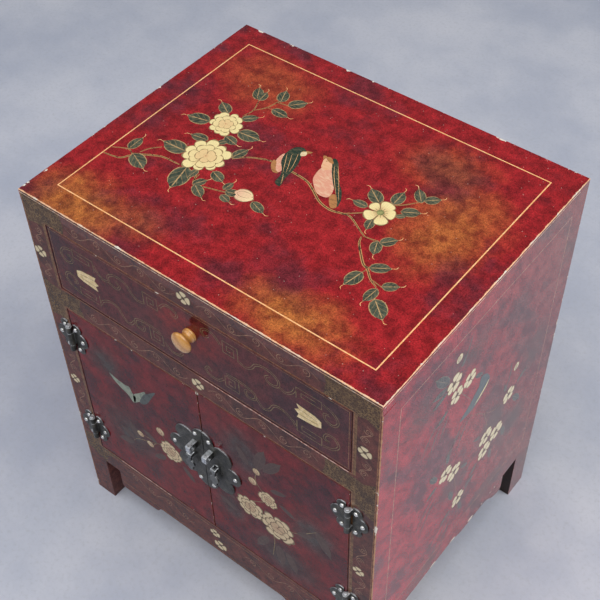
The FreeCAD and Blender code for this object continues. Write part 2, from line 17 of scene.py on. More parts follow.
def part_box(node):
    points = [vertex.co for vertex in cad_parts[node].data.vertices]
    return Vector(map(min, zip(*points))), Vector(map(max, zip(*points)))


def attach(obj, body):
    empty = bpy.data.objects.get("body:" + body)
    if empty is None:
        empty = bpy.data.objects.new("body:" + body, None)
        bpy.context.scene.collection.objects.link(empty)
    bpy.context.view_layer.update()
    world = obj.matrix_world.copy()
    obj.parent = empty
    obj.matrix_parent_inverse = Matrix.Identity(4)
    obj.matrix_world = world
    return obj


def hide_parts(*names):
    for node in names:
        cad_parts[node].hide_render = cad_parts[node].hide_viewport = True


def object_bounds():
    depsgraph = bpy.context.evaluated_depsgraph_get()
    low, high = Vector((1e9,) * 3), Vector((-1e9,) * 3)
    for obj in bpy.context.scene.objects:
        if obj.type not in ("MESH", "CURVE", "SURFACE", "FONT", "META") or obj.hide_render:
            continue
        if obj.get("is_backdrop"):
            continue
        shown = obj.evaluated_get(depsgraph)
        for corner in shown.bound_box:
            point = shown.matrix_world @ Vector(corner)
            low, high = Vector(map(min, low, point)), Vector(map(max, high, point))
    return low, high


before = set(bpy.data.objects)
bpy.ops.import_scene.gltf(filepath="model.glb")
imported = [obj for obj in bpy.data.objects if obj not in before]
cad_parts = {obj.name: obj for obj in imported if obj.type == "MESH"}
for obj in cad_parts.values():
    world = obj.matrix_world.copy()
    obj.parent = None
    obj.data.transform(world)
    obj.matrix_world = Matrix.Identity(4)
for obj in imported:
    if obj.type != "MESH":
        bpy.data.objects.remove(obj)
cad_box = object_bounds()
MM = 0.001
front_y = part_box("left_stile")[0].y
back_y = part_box("right_side_panel")[1].y
side_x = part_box("right_side_panel")[1].x
top_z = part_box("top_panel")[1].z
print("cabinet, mm:", [round(v / MM) for v in cad_box[1] - cad_box[0]])

# %% [markdown]
# ## Camera
# The cabinet is seen from standing height, down onto its front right corner. A track-to constraint would
# aim the camera too, but writing the three axes out lets the slight roll of a hand-held shot go in as well.

# %% Camera
CAMERA_PLACE = Vector((538.6, -660.6, 1322.1)) * MM


def looking(azimuth, elevation, roll):
    """The turned axes of a camera that looks from that side and height, in degrees."""
    a, e, r = (math.radians(angle) for angle in (azimuth, elevation, roll))
    back = Vector((math.sin(a) * math.cos(e), -math.cos(a) * math.cos(e), math.sin(e)))
    right = Vector((math.cos(a), math.sin(a), 0))
    level = Matrix((right, back.cross(right), back)).transposed()
    return level @ Matrix.Rotation(r, 3, "Z")


camera = bpy.data.objects.new("camera", bpy.data.cameras.new("camera"))
camera.data.lens, camera.data.sensor_width = 67.1, 36
camera.matrix_world = Matrix.Translation(CAMERA_PLACE) @ looking(39.27, 47.78, -1.51).to_4x4()
bpy.context.scene.collection.objects.link(camera)
bpy.context.scene.camera = camera
print("camera height, mm:", round(camera.location.z / MM))

# %% [markdown]
# ## Building blocks for node trees
# Shader trees and Geometry Nodes trees are both made of nodes and links, and many nodes work in both.
# A few small helpers make a tree read like a list of steps: `feed` sets or links an input, `add` makes a
# node, `calc` and `times` do arithmetic, and `node_group` starts a tree with named inputs and outputs.

# %% Node helpers
def feed(tree, socket, value):
    """Links an output to the socket, or sets a plain value on it."""
    if isinstance(value, bpy.types.NodeSocket):
        tree.links.new(value, socket)
    else:
        socket.default_value = value


def add(tree, kind, inputs=None, **settings):
    """Adds a node, sets its options, and feeds its inputs by name or number."""
    node = tree.nodes.new(kind)
    for option, value in settings.items():
        setattr(node, option, value)
    for label, value in (inputs or {}).items():
        feed(tree, node.inputs[label], value)
    return node


def calc(tree, operation, *terms):
    """One step of arithmetic on values or outputs."""
    return add(tree, "ShaderNodeMath", dict(enumerate(terms)), operation=operation).outputs[0]


def times(tree, first, *others):
    """The product of some values or outputs."""
    for other in others:
        first = calc(tree, "MULTIPLY", first, other)
    return first


def split(tree, vector):
    """The three numbers of a vector."""
    return add(tree, "ShaderNodeSeparateXYZ", {0: vector}).outputs


def joined(tree, x, y, z):
    """Three numbers as one vector."""
    return add(tree, "ShaderNodeCombineXYZ", {0: x, 1: y, 2: z}).outputs[0]


def node_group(kind, name, inputs, outputs):
    """Starts a tree with named sockets, and returns it with what goes in and what comes out."""
    tree = bpy.data.node_groups.new(name, kind)
    for way, sockets in (("INPUT", inputs), ("OUTPUT", outputs)):
        for label, socket in sockets.items():
            tree.interface.new_socket(label, in_out=way, socket_type="NodeSocket" + socket)
    given = tree.nodes.new("NodeGroupInput").outputs
    return tree, given, tree.nodes.new("NodeGroupOutput").inputs


print("helpers ready")

# %% Shading helpers
def fade(tree, value, low, high, start=0.0, end=1.0):
    """A smooth change from start to end as the value goes from low to high."""
    inputs = {0: value, 1: low, 2: high, 3: start, 4: end}
    return add(tree, "ShaderNodeMapRange", inputs, interpolation_type="SMOOTHSTEP").outputs[0]


def mixed(tree, share, under, over):
    """One colour over another, by a share."""
    inputs = {0: share, 6: under, 7: over}
    return add(tree, "ShaderNodeMix", inputs, data_type="RGBA").outputs[2]


def cloud(tree, point, scale, detail=3.0, rough=0.6):
    """Soft noise from 0 to 1 with about that many lumps to the metre."""
    inputs = {"Vector": point, "Scale": scale, "Detail": detail, "Roughness": rough}
    return add(tree, "ShaderNodeTexNoise", inputs).outputs[0]


def relief(tree, shader, height, strength, depth):
    """Fine ups and downs from a value that changes over the surface."""
    bump = add(tree, "ShaderNodeBump", {"Strength": strength, "Distance": depth, "Height": height})
    feed(tree, shader.inputs["Normal"], bump.outputs[0])


def tint(*rgb):
    """A colour with full alpha, in linear light."""
    return (*rgb, 1.0)


def blank(name):
    """A new material with its tree, its shader and the piece's own coordinates."""
    material = bpy.data.materials.new(name)
    material.use_nodes = True
    tree = material.node_tree
    return material, tree, tree.nodes["Principled BSDF"], add(tree, "ShaderNodeTexCoord").outputs["Object"]


print("shading helpers ready")

# %% [markdown]
# ## Floor and light
# A pale concrete floor lights the lacquer from below: the doors and the side mirror it, and that is where
# their soft mauve sheen comes from. One broad light stands to the right and behind, as an open shop door
# would, and an even sky fills the rest. The sky stays dim so that the top keeps its deep red.

# %% Floor
concrete, tree, shader, point = blank("pale_floor")
stain = cloud(tree, point, 3.5, 6, 0.62)
grit = cloud(tree, point, 160, 3, 0.7)
tone = mixed(tree, fade(tree, stain, 0.3, 0.7), tint(0.46, 0.49, 0.59), tint(0.63, 0.64, 0.71))
speckled = mixed(tree, fade(tree, grit, 0.45, 0.8, 0, 0.35), tone, tint(0.4, 0.41, 0.44))
feed(tree, shader.inputs["Base Color"], speckled)
feed(tree, shader.inputs["Roughness"], fade(tree, grit, 0.2, 0.8, 0.6, 0.8))
relief(tree, shader, grit, 0.15, 1.0 * MM)

HALF_FLOOR = 5.0
corners = [(x * HALF_FLOOR, y * HALF_FLOOR, 0) for x, y in ((-1, -1), (1, -1), (1, 1), (-1, 1))]
floor_mesh = bpy.data.meshes.new("floor")
floor_mesh.from_pydata(corners, [], [(0, 1, 2, 3)])
floor_mesh.materials.append(concrete)
floor = bpy.data.objects.new("floor", floor_mesh)
bpy.context.scene.collection.objects.link(floor)
floor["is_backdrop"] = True
print("floor, m:", 2 * HALF_FLOOR)

# %% Light
AIM = Vector((0, 0, 0.3))


def soft_light(name, place, size, power, colour):
    """A square area light that faces the cabinet."""
    light = bpy.data.objects.new(name, bpy.data.lights.new(name, "AREA"))
    light.data.size, light.data.energy, light.data.color = size, power, colour
    light.location = place
    light.rotation_euler = (AIM - Vector(place)).to_track_quat("-Z", "Y").to_euler()
    bpy.context.scene.collection.objects.link(light)


soft_light("open_door", (2.3, 0.9, 2.0), 2.0, 44, (1.0, 0.98, 0.95))
soft_light("roof_light", (0.5, -1.2, 3.0), 3.0, 72, (1.0, 0.99, 0.97))
soft_light("front_fill", (-2.4, -1.6, 2.2), 2.4, 22, (0.94, 0.97, 1.0))
sky = bpy.data.worlds.new("even_sky")
sky.use_nodes = True
sky_light = sky.node_tree.nodes["Background"].inputs
sky_light["Color"].default_value = tint(0.80, 0.88, 1.0)
sky_light["Strength"].default_value = 0.2
bpy.context.scene.world = sky
bpy.context.scene.view_settings.view_transform = "Standard"

# %% [markdown]
# ## Shared lacquer effects
# Tortoiseshell lacquer is wiped on in clouds: a clear red ground, dark violet where it pooled, amber where
# it was rubbed thin. Every board uses the same effects with other values, so each is a node group. All of
# them read Object coordinates in metres, so a cloud runs across a joint between two boards.

# %% Lacquer clouds
tree, given, made = node_group(
    "ShaderNodeTree", "lacquer clouds",
    {"Vector": "Vector", "Ground": "Color", "Pooled": "Color", "Rubbed": "Color",
     "Rubbed Mask": "Float", "Pooled Share": "Float", "Cloud Scale": "Float"},
    {"Color": "Color"})
lumps = cloud(tree, given["Vector"], given["Cloud Scale"], 4, 0.62)
mottle = cloud(tree, given["Vector"], times(tree, given["Cloud Scale"], 5), 4, 0.65)
grain = cloud(tree, given["Vector"], 900, 2, 0.75)
pooled = times(tree, fade(tree, lumps, 0.46, 0.66), given["Pooled Share"])
rubbed = times(tree, given["Rubbed Mask"], fade(tree, mottle, 0.25, 0.65, 0.5, 1))
shade = mixed(tree, rubbed, mixed(tree, pooled, given["Ground"], given["Pooled"]), given["Rubbed"])
level = times(tree, fade(tree, mottle, 0.25, 0.75, 0.58, 1.42), fade(tree, grain, 0.25, 0.75, 0.45, 1.55))
levelled = add(tree, "ShaderNodeVectorMath", {0: shade, "Scale": level}, operation="SCALE")
feed(tree, made["Color"], levelled.outputs[0])
lacquer_clouds = tree


def use(tree, group, inputs):
    """Places a node group in a tree with its own values."""
    node = tree.nodes.new("ShaderNodeGroup")
    node.node_tree = group
    for label, value in inputs.items():
        feed(tree, node.inputs[label], value)
    return node.outputs


def clouds(tree, point, ground, pooled, rubbed, rubbed_mask, pooled_share, scale):
    """The colour of wiped lacquer, from its three colours and where the last two show."""
    return use(tree, lacquer_clouds, {
        "Vector": point, "Ground": tint(*ground), "Pooled": tint(*pooled), "Rubbed": tint(*rubbed),
        "Rubbed Mask": rubbed_mask, "Pooled Share": pooled_share, "Cloud Scale": scale})["Color"]


print("group:", lacquer_clouds.name)

# %% Soft patch
tree, given, made = node_group(
    "ShaderNodeTree", "soft patch",
    {"Vector": "Vector", "Centre": "Vector", "Reach": "Vector", "Ragged": "Float"}, {"Mask": "Float"})
offset = add(tree, "ShaderNodeVectorMath", {0: given["Vector"], 1: given["Centre"]}, operation="SUBTRACT")
ratio = add(tree, "ShaderNodeVectorMath", {0: offset.outputs[0], 1: given["Reach"]}, operation="DIVIDE")
distance = add(tree, "ShaderNodeVectorMath", {0: ratio.outputs[0]}, operation="LENGTH").outputs["Value"]
frayed = times(tree, calc(tree, "SUBTRACT", cloud(tree, given["Vector"], 26, 4), 0.5), given["Ragged"])
feed(tree, made["Mask"], fade(tree, calc(tree, "ADD", distance, frayed), 1.05, 0.15))
soft_patch = tree


def patch(tree, point, centre, reach, ragged):
    """A soft spot, from its centre and its reach each way in metres."""
    return use(tree, soft_patch, {"Vector": point, "Centre": centre, "Reach": reach, "Ragged": ragged})["Mask"]


def either(tree, first, *others):
    """The strongest of several masks."""
    for other in others:
        first = calc(tree, "MAXIMUM", first, other)
    return first


print("group:", soft_patch.name)

# %% [markdown]
# Wear on an edge needs the distance from that edge: it is the larger of the distances from the two faces
# that meet there. Close to the edge the lacquer is rubbed, and where a noise is high a chip is gone.

# %% Edge wear and dust
tree, given, made = node_group(
    "ShaderNodeTree", "edge wear",
    {"Vector": "Vector", "Distance": "Float", "Width": "Float", "Chips": "Float"}, {"Rub": "Float", "Chip": "Float"})
waver = cloud(tree, given["Vector"], 110, 3, 0.7)
flake = cloud(tree, given["Vector"], 85, 4, 0.65)
limit = times(tree, given["Width"], fade(tree, waver, 0.3, 0.7, 0.5, 1.3))
feed(tree, made["Rub"], calc(tree, "LESS_THAN", given["Distance"], limit))
bite = times(tree, fade(tree, flake, 0.55, 0.77, 0, 3.2), times(tree, given["Width"], given["Chips"]))
feed(tree, made["Chip"], calc(tree, "LESS_THAN", given["Distance"], bite))
edge_wear = tree

tree, given, made = node_group(
    "ShaderNodeTree", "dust specks", {"Vector": "Vector", "Spacing": "Float", "Size": "Float"}, {"Mask": "Float"})
spacing = calc(tree, "DIVIDE", 1.0, given["Spacing"])
cells = add(tree, "ShaderNodeTexVoronoi", {"Vector": given["Vector"], "Scale": spacing}).outputs
lucky = calc(tree, "GREATER_THAN", split(tree, cells["Color"])[0], 0.55)
feed(tree, made["Mask"], times(tree, lucky, calc(tree, "LESS_THAN", cells["Distance"], given["Size"])))
dust_specks = tree


def worn(tree, point, edges, width, chips):
    """The rubbed band and the chips along straight edges, each given as two (axis, place) faces."""
    place, nearest = split(tree, point), None
    for faces in edges:
        spans = [calc(tree, "ABSOLUTE", calc(tree, "SUBTRACT", place[axis], at)) for axis, at in faces]
        one = calc(tree, "MAXIMUM", *spans)
        nearest = one if nearest is None else calc(tree, "MINIMUM", nearest, one)
    return use(tree, edge_wear, {"Vector": point, "Distance": nearest, "Width": width * MM, "Chips": chips})


print("groups:", [group.name for group in bpy.data.node_groups])

# %% [markdown]
# ## The lacquered boards
# One function gives every board the same body: a clear coat over a slightly waxy ground, with a fine grain
# in its gloss. What differs is the colour, so each board passes in its own small painter. The coat is thin
# on the front and full on the sides, as a weight that changes over the surface.

# %% Lacquer body
FRONT_COAT, TOP_COAT, SIDE_COAT = 0.57, 0.86, 1.0


def lacquer(name, painter, coat_roughness, coat):
    """A glossy lacquer. The painter returns its colour, its bare chips and the cabinet's outer faces."""
    material, tree, shader, point = blank(name)
    colour, bare, outer = painter(tree, point)
    grain = cloud(tree, point, 700, 2, 0.7)
    feed(tree, shader.inputs["Base Color"], colour)
    rough = either(tree, fade(tree, grain, 0.3, 0.7, 0.34, 0.5), times(tree, bare, 0.8))
    feed(tree, shader.inputs["Roughness"], rough)
    share = fade(tree, outer, 0, 1, coat, SIDE_COAT) if outer else coat
    feed(tree, shader.inputs["Coat Weight"], times(tree, calc(tree, "SUBTRACT", 1.0, bare), share))
    shader.inputs["Coat Roughness"].default_value = coat_roughness
    shader.inputs["Specular IOR Level"].default_value = 0.0
    relief(tree, shader, cloud(tree, point, 60, 3), 0.12, 0.6 * MM)
    return material


X, Y, Z = 0, 1, 2
GESSO = tint(0.78, 0.72, 0.62)


def outward(tree, point, margin):
    """The outer faces of the two sides, to within a margin in millimetres."""
    return calc(tree, "GREATER_THAN", calc(tree, "ABSOLUTE", split(tree, point)[X]), side_x - margin * MM)


def forward(tree, point, margin):
    """The front faces, to within a margin in millimetres."""
    return calc(tree, "LESS_THAN", split(tree, point)[Y], front_y + margin * MM)


print("lacquer body ready")

# %% Frame colours
def side_red(tree, point):
    """The side boards' red, wiped on in long clouds that fall towards the back, where it turns olive."""
    olive = fade(tree, split(tree, point)[Y], -0.12, 0.2, 0.05, 0.7)
    slope = {"Vector": point, "Rotation": (-0.9, 0, 0), "Scale": (1, 1.7, 0.9)}
    wiped = add(tree, "ShaderNodeMapping", slope, vector_type="TEXTURE").outputs[0]
    return clouds(tree, wiped, (0.39, 0.03, 0.042), (0.145, 0.04, 0.052), (0.15, 0.075, 0.058), olive, 0.9, 15.0)


def frame_painter(tree, point):
    """Dark violet-brown stiles and rails, with the side's red on the cabinet's outer faces."""
    dark = clouds(tree, point, (0.115, 0.026, 0.024), (0.045, 0.02, 0.024), (0.14, 0.05, 0.02), 0.25, 0.8, 16.0)
    outer = outward(tree, point, 0.4)
    colour = mixed(tree, outer, dark, side_red(tree, point))
    wear = worn(tree, point, [((X, x), (Y, front_y)) for x in (side_x, -side_x)], 1.1, 1.5)
    colour = mixed(tree, wear["Rub"], colour, tint(0.5, 0.25, 0.12))
    return mixed(tree, wear["Chip"], colour, GESSO), wear["Chip"], outer


frame_lacquer = lacquer("frame_finish", frame_painter, 0.11, FRONT_COAT)
print("painted:", frame_lacquer.name)

# %% Drawer and door colours
DOOR_WASHES = [(-135, 205, 60, 55), (-150, 330, 40, 40), (60, 330, 45, 55), (110, 160, 70, 40), (150, 250, 40, 45),
               (30, 200, 30, 40)]
seam_x = (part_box("left_door_panel")[1].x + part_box("right_door_panel")[0].x) / 2
door_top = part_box("left_door_panel")[1].z


def knocked(tree, point, colour, node):
    """Adds rubbed arrises and chips round the face of a board that moves."""
    low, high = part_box(node)
    face = (Y, low.y)
    rims = [((X, low.x), face), ((X, high.x), face), ((Z, low.z), face), ((Z, high.z), face)]
    wear = worn(tree, point, rims, 0.45, 0.8)
    colour = mixed(tree, wear["Rub"], colour, tint(0.22, 0.075, 0.035))
    return mixed(tree, wear["Chip"], colour, GESSO), wear["Chip"], None


def drawer_painter(tree, point):
    """A plum-brown drawer front, redder round and above the knob: a painted reflection of the knob in the gloss."""
    # A redder patch round and above the knob: a painted reflection of the knob.
    knob_reflection = patch(tree, point, (0, front_y, 0.485), (0.07, 1, 0.04), 0.6)
    plum = clouds(tree, point, (0.1, 0.019, 0.02), (0.042, 0.018, 0.024), (0.2, 0.014, 0.012), knob_reflection, 0.75, 15.0)
    return knocked(tree, point, plum, "drawer_front")


def door_painter(tree, point):
    """Doors in dark red, clouded with grey-green where leaves were washed in, and split at the seam's top."""
    washes = either(tree, *[patch(tree, point, (x * MM, front_y, z * MM), (wide * MM, 1, high * MM), 1.3)
                            for x, z, wide, high in DOOR_WASHES])
    washes = times(tree, washes, forward(tree, point, 1.0))
    red = clouds(tree, point, (0.15, 0.009, 0.011), (0.06, 0.011, 0.017), (0.05, 0.04, 0.038), washes, 0.85, 13.0)
    split_chip = patch(tree, point, (seam_x, front_y, door_top), (3 * MM, 1, 7 * MM), 0.5)
    red = mixed(tree, calc(tree, "GREATER_THAN", split_chip, 0.35), red, GESSO)
    colour, chip, outer = knocked(tree, point, red, "left_door_panel")
    return knocked(tree, point, colour, "right_door_panel")[0], chip, outer


drawer_lacquer = lacquer("drawer_finish", drawer_painter, 0.09, FRONT_COAT)
door_lacquer = lacquer("door_finish", door_painter, 0.08, FRONT_COAT)
print("painted:", drawer_lacquer.name, door_lacquer.name)

# %% Top colours
AMBER = [(-168, -158, 75, 62, 1), (-105, -138, 60, 36, 0.35), (106, -144, 82, 46, 0.95), (158, 42, 62, 90, 0.8),
         (-130, 118, 85, 60, 0.4), (108, 116, 70, 50, 0.35)]
WORN_GOLD = tint(0.88, 0.5, 0.28)


def top_painter(tree, point):
    """The cloudy red top: amber patches, a violet border, a worn gilt edge and white dust."""
    place, rim = split(tree, point), (Z, top_z)
    amber = either(tree, *[
        times(tree, patch(tree, point, (x * MM, y * MM, top_z), (wide * MM, deep * MM, 1), 1.0), strength)
        for x, y, wide, deep, strength in AMBER])
    out = calc(tree, "ADD", calc(tree, "ABSOLUTE", place[X]), times(tree, place[Y], 0.35))
    violet = fade(tree, out, 0.15, 0.27, 0.72, 1.0)
    red = clouds(tree, point, (0.285, 0.013, 0.016), (0.105, 0.018, 0.028), (0.37, 0.12, 0.028), amber, violet, 13.0)
    dust = use(tree, dust_specks, {"Vector": point, "Spacing": 6.5 * MM, "Size": 0.07})["Mask"]
    colour = mixed(tree, times(tree, dust, 0.5), red, tint(0.75, 0.6, 0.5))
    colour = mixed(tree, forward(tree, point, 0.4), colour, frame_painter(tree, point)[0])
    outer = outward(tree, point, 0.6)
    colour = mixed(tree, outer, colour, side_red(tree, point))
    gilded = worn(tree, point, [((Y, front_y), rim), ((X, side_x), rim)], 1.2, 0.7)
    bumped = worn(tree, point, [((X, -side_x), rim), ((Y, back_y), rim)], 1.3, 1.6)
    gold = mixed(tree, fade(tree, cloud(tree, point, 40, 3), 0.46, 0.66, 0, 0.8), WORN_GOLD, GESSO)
    chips = either(tree, gilded["Chip"], bumped["Chip"])
    return mixed(tree, chips, mixed(tree, gilded["Rub"], colour, gold), GESSO), chips, outer


top_lacquer = lacquer("top_finish", top_painter, 0.12, TOP_COAT)
print("painted:", top_lacquer.name)

# %% Side colours
SIDE_WASHES = [(-104, 465, 45, 40), (-12, 473, 50, 30), (139, 334, 35, 55), (54, 273, 45, 40), (-20, 243, 45, 40),
               (-64, 109, 50, 30), (77, 124, 60, 30), (120, 222, 40, 40)]
BITES = [(3, 88), (46, 84), (-40, 89)]
SIDE_EDGES = [(Z, 0), (Z, 85 * MM), (Y, back_y)]


def side_painter(tree, point):
    """The side boards, washed with grey-green, dark inside, and chipped along the foot."""
    washes = either(tree, *[patch(tree, point, (side_x, y * MM, z * MM), (1, wide * MM, high * MM), 1.3)
                            for y, z, wide, high in SIDE_WASHES])
    colour = mixed(tree, times(tree, washes, 0.5), side_red(tree, point), tint(0.085, 0.075, 0.065))
    outer = outward(tree, point, 0.6)
    colour = mixed(tree, outer, tint(0.028, 0.012, 0.009), colour)
    rims = [((X, x), face) for face in SIDE_EDGES for x in (side_x, -side_x)]
    bites = [patch(tree, point, (side_x, y * MM, z * MM), (3 * MM, 10 * MM, 5 * MM), 0.9) for y, z in BITES]
    gone = [calc(tree, "GREATER_THAN", bite, 0.45) for bite in bites]
    bare = either(tree, worn(tree, point, rims, 1.0, 1.0)["Chip"], *gone)
    return mixed(tree, bare, colour, GESSO), bare, outer


side_lacquer = lacquer("side_finish", side_painter, 0.16, FRONT_COAT)
print("painted:", side_lacquer.name)

# %% [markdown]
# ## Timber, bronze and steel
# Inside, the boards are plain timber. Grain is noise pulled long in one direction, and the knob uses the
# same group as the boards with finer values. The castings are dark bronze that is lighter on everything
# that stands proud, so the brightness follows the distance in front of the doors: hands rubbed it bright,
# and on the tips that stand furthest out it is also a painted highlight. It follows an attribute too, which
# is set on the rounded edges and on the faces that look up when the castings are made; on the faces that
# look up it is a painted highlight from the light above.

# %% Timber grain
tree, given, made = node_group(
    "ShaderNodeTree", "timber grain",
    {"Vector": "Vector", "Stretch": "Vector", "Pale": "Color", "Dark": "Color"}, {"Color": "Color", "Pores": "Float"})
pulled = add(tree, "ShaderNodeVectorMath", {0: given["Vector"], 1: given["Stretch"]}, operation="MULTIPLY").outputs[0]
bands = {"Vector": pulled, "Scale": 0.6, "Distortion": 5.0, "Detail": 2.0, "Detail Scale": 0.8}
rings = add(tree, "ShaderNodeTexWave", bands, bands_direction="DIAGONAL").outputs["Fac"]
fine = add(tree, "ShaderNodeVectorMath", {0: pulled, "Scale": 14.0}, operation="SCALE").outputs[0]
pores = cloud(tree, fine, 1.0, 3, 0.7)
feed(tree, made["Color"], mixed(tree, fade(tree, times(tree, rings, pores), 0.1, 0.6), given["Pale"], given["Dark"]))
feed(tree, made["Pores"], pores)
timber_grain = tree


def timber(name, stretch, pale, dark, rough):
    """A timber with its grain along the smallest stretch."""
    material, tree, shader, point = blank(name)
    grain = use(tree, timber_grain, {"Vector": point, "Stretch": stretch, "Pale": pale, "Dark": dark})
    feed(tree, shader.inputs["Base Color"], grain["Color"])
    feed(tree, shader.inputs["Roughness"], fade(tree, grain["Pores"], 0.3, 0.7, rough - 0.1, rough + 0.1))
    relief(tree, shader, grain["Pores"], 0.2, 0.3 * MM)
    return material, shader


inner_wood = timber("inner_timber", (3, 12, 30), tint(0.4, 0.255, 0.14), tint(0.31, 0.185, 0.095), 0.65)[0]
knob_wood, knob_shader = timber("knob_timber", (60, 14, 60), tint(0.68, 0.33, 0.08), tint(0.5, 0.21, 0.045), 0.3)
knob_shader.inputs["Coat Weight"].default_value = 0.8
knob_shader.inputs["Coat Roughness"].default_value = 0.08
print("timbers:", inner_wood.name, knob_wood.name)

# %% Bronze and steel
def stored(tree, name, output="Fac"):
    """A value that the mesh carries under a name."""
    return add(tree, "ShaderNodeAttribute", attribute_name=name).outputs[output]


def metal(name, dark, bright, rub_from, rub_to, rough):
    """A cast metal, dark in its hollows and lighter where it stands proud of the doors or is marked: rubbed bright,
    and a painted highlight on tips and on faces that look up.
    """
    material, tree, shader, point = blank(name)
    proud = calc(tree, "SUBTRACT", front_y, split(tree, point)[Y])
    pits = cloud(tree, point, 420, 4, 0.7)
    blotch = cloud(tree, point, 120, 3, 0.6)
    # Lighter towards what stands furthest out and on the marked faces: rubbed wear, and a painted highlight.
    high = fade(tree, proud, rub_from * MM, rub_to * MM, 0.02, 0.75)
    high = either(tree, high, times(tree, stored(tree, "rub_and_highlight"), 0.9))
    rubbed_and_lit = times(tree, high, fade(tree, pits, 0.3, 0.62, 0.4, 1))
    field = mixed(tree, fade(tree, blotch, 0.42, 0.66), dark, tint(0.075, 0.07, 0.052))
    feed(tree, shader.inputs["Base Color"], mixed(tree, rubbed_and_lit, field, bright))
    feed(tree, shader.inputs["Roughness"], fade(tree, pits, 0.25, 0.75, rough - 0.12, rough + 0.16))
    relief(tree, shader, pits, 0.5, 0.6 * MM)
    shader.inputs["Metallic"].default_value = 0.7
    return material


aged_bronze = metal("cast_bronze", tint(0.022, 0.021, 0.016), tint(0.85, 0.88, 0.92), 7, 13, 0.36)
stud_bronze = metal("rubbed_studs", tint(0.6, 0.59, 0.55), tint(0.98, 0.97, 0.95), 0.8, 2.0, 0.22)
screw_steel = metal("screw_steel", tint(0.25, 0.25, 0.26), tint(0.5, 0.5, 0.5), 1, 8, 0.36)
finishes = {
    "top_lacquer": top_lacquer, "side_lacquer": side_lacquer, "door_lacquer": door_lacquer,
    "frame_lacquer": frame_lacquer, "drawer_lacquer": drawer_lacquer, "inner_wood": inner_wood,
    "aged_bronze": aged_bronze, "knob_wood": knob_wood, "screw_steel": screw_steel,
}
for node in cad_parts.values():
    for place in node.material_slots:
        place.material = finishes[place.material.name.split(".")[0]]
print("CAD nodes finished:", len(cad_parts))

# %% [markdown]
# ## Boards that carry the painting
# On the real cabinet the paint stands a hair above the lacquer. The CAD box is the size of the finished
# cabinet, so the top and side boards are copied and drawn in by a quarter of a millimetre, and the paint
# layers fill that gap. Moving the outer points of a copy is enough, because the faces are flat.

# %% Drawn-in boards
SKIN = 0.25 * MM
NEAR = 0.05 * MM


def show(name, mesh, body, slot, *stands_for):
    """Puts a finished mesh on its body, in place of the CAD nodes that it stands for."""
    piece = bpy.data.objects.new(name, mesh)
    bpy.context.scene.collection.objects.link(piece)
    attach(piece, body)
    if stands_for:
        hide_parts(*stands_for)
    return piece


def welded(node):
    """A merged copy of a CAD node's mesh, ready to be reshaped."""
    shape = bmesh.new()
    shape.from_mesh(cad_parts[node].data)
    bmesh.ops.remove_doubles(shape, verts=shape.verts, dist=1e-6)
    bmesh.ops.dissolve_limit(shape, angle_limit=math.radians(0.5), verts=shape.verts, edges=shape.edges)
    return shape


def hardened(shape, name, material, angle=32):
    """The reshaped copy as a mesh with smooth faces and crisp corners."""
    mesh = bpy.data.meshes.new(name)
    shape.to_mesh(mesh)
    shape.free()
    mesh.materials.clear()
    mesh.materials.append(material)
    mesh.shade_smooth()
    mesh.set_sharp_from_angle(angle=math.radians(angle))
    return mesh


PAINTED = {"top_panel": "top_lacquer", "left_side_panel": "side_lacquer", "right_side_panel": "side_lacquer"}
for node, slot in PAINTED.items():
    shape = welded(node)
    for vert in shape.verts:
        if abs(vert.co.x) > side_x - NEAR:
            vert.co.x -= math.copysign(SKIN, vert.co.x)
        if vert.co.z > top_z - NEAR:
            vert.co.z -= SKIN
    show("painted_" + node, hardened(shape, node, finishes[slot]), "carcass", slot, node)
print("boards drawn in by mm:", SKIN / MM)

# %% [markdown]
# ## Brushes
# The painting repeats a few marks hundreds of times: a petal or leaf, a long line, a filled outline and a
# small spiral. Each is a Geometry Nodes tree, a brush with named sizes. They work in millimetres on a flat
# sheet, and the finished marks are then laid on a face of the cabinet.
# The blade brush bends a grid by an outline curve, puts one copy on every point and keeps, in an
# attribute, how far each spot is along, across and from the rim, so that the paint can draw veins.

# %% Blade brush
def kept(tree, geometry, name, value, kind="FLOAT"):
    """Stores a value on every point under a name that a material can read."""
    inputs = {"Geometry": geometry, "Name": name, "Value": value}
    return add(tree, "GeometryNodeStoreNamedAttribute", inputs, data_type=kind, domain="POINT").outputs[0]


def named(tree, name):
    """A number stored on the points before."""
    return add(tree, "GeometryNodeInputNamedAttribute", {"Name": name}, data_type="FLOAT").outputs["Attribute"]


def brush(name, sizes):
    """Starts a brush: a tree that turns points or paths into painted geometry."""
    inputs = {"Geometry": "Geometry", **sizes, "Paint": "Material"}
    return node_group("GeometryNodeTree", name, inputs, {"Geometry": "Geometry"})


def painted(tree, made, geometry, paint):
    """The end of every brush: real geometry, smooth, in its paint."""
    real = add(tree, "GeometryNodeRealizeInstances", {0: geometry}).outputs[0]
    smooth = add(tree, "GeometryNodeSetShadeSmooth", {"Geometry": real}).outputs[0]
    finished = add(tree, "GeometryNodeSetMaterial", {"Geometry": smooth, "Material": paint}).outputs[0]
    feed(tree, made["Geometry"], finished)


def on_marks(tree, points, shape):
    """One copy of a shape on every mark, turned and stretched as the mark says."""
    reach = named(tree, "reach")
    size = joined(tree, times(tree, reach, named(tree, "spread")), reach, 1.0)
    turn = joined(tree, 0.0, 0.0, named(tree, "turn"))
    inputs = {"Points": points, "Instance": shape, "Rotation": turn, "Scale": size}
    return add(tree, "GeometryNodeInstanceOnPoints", inputs).outputs[0]


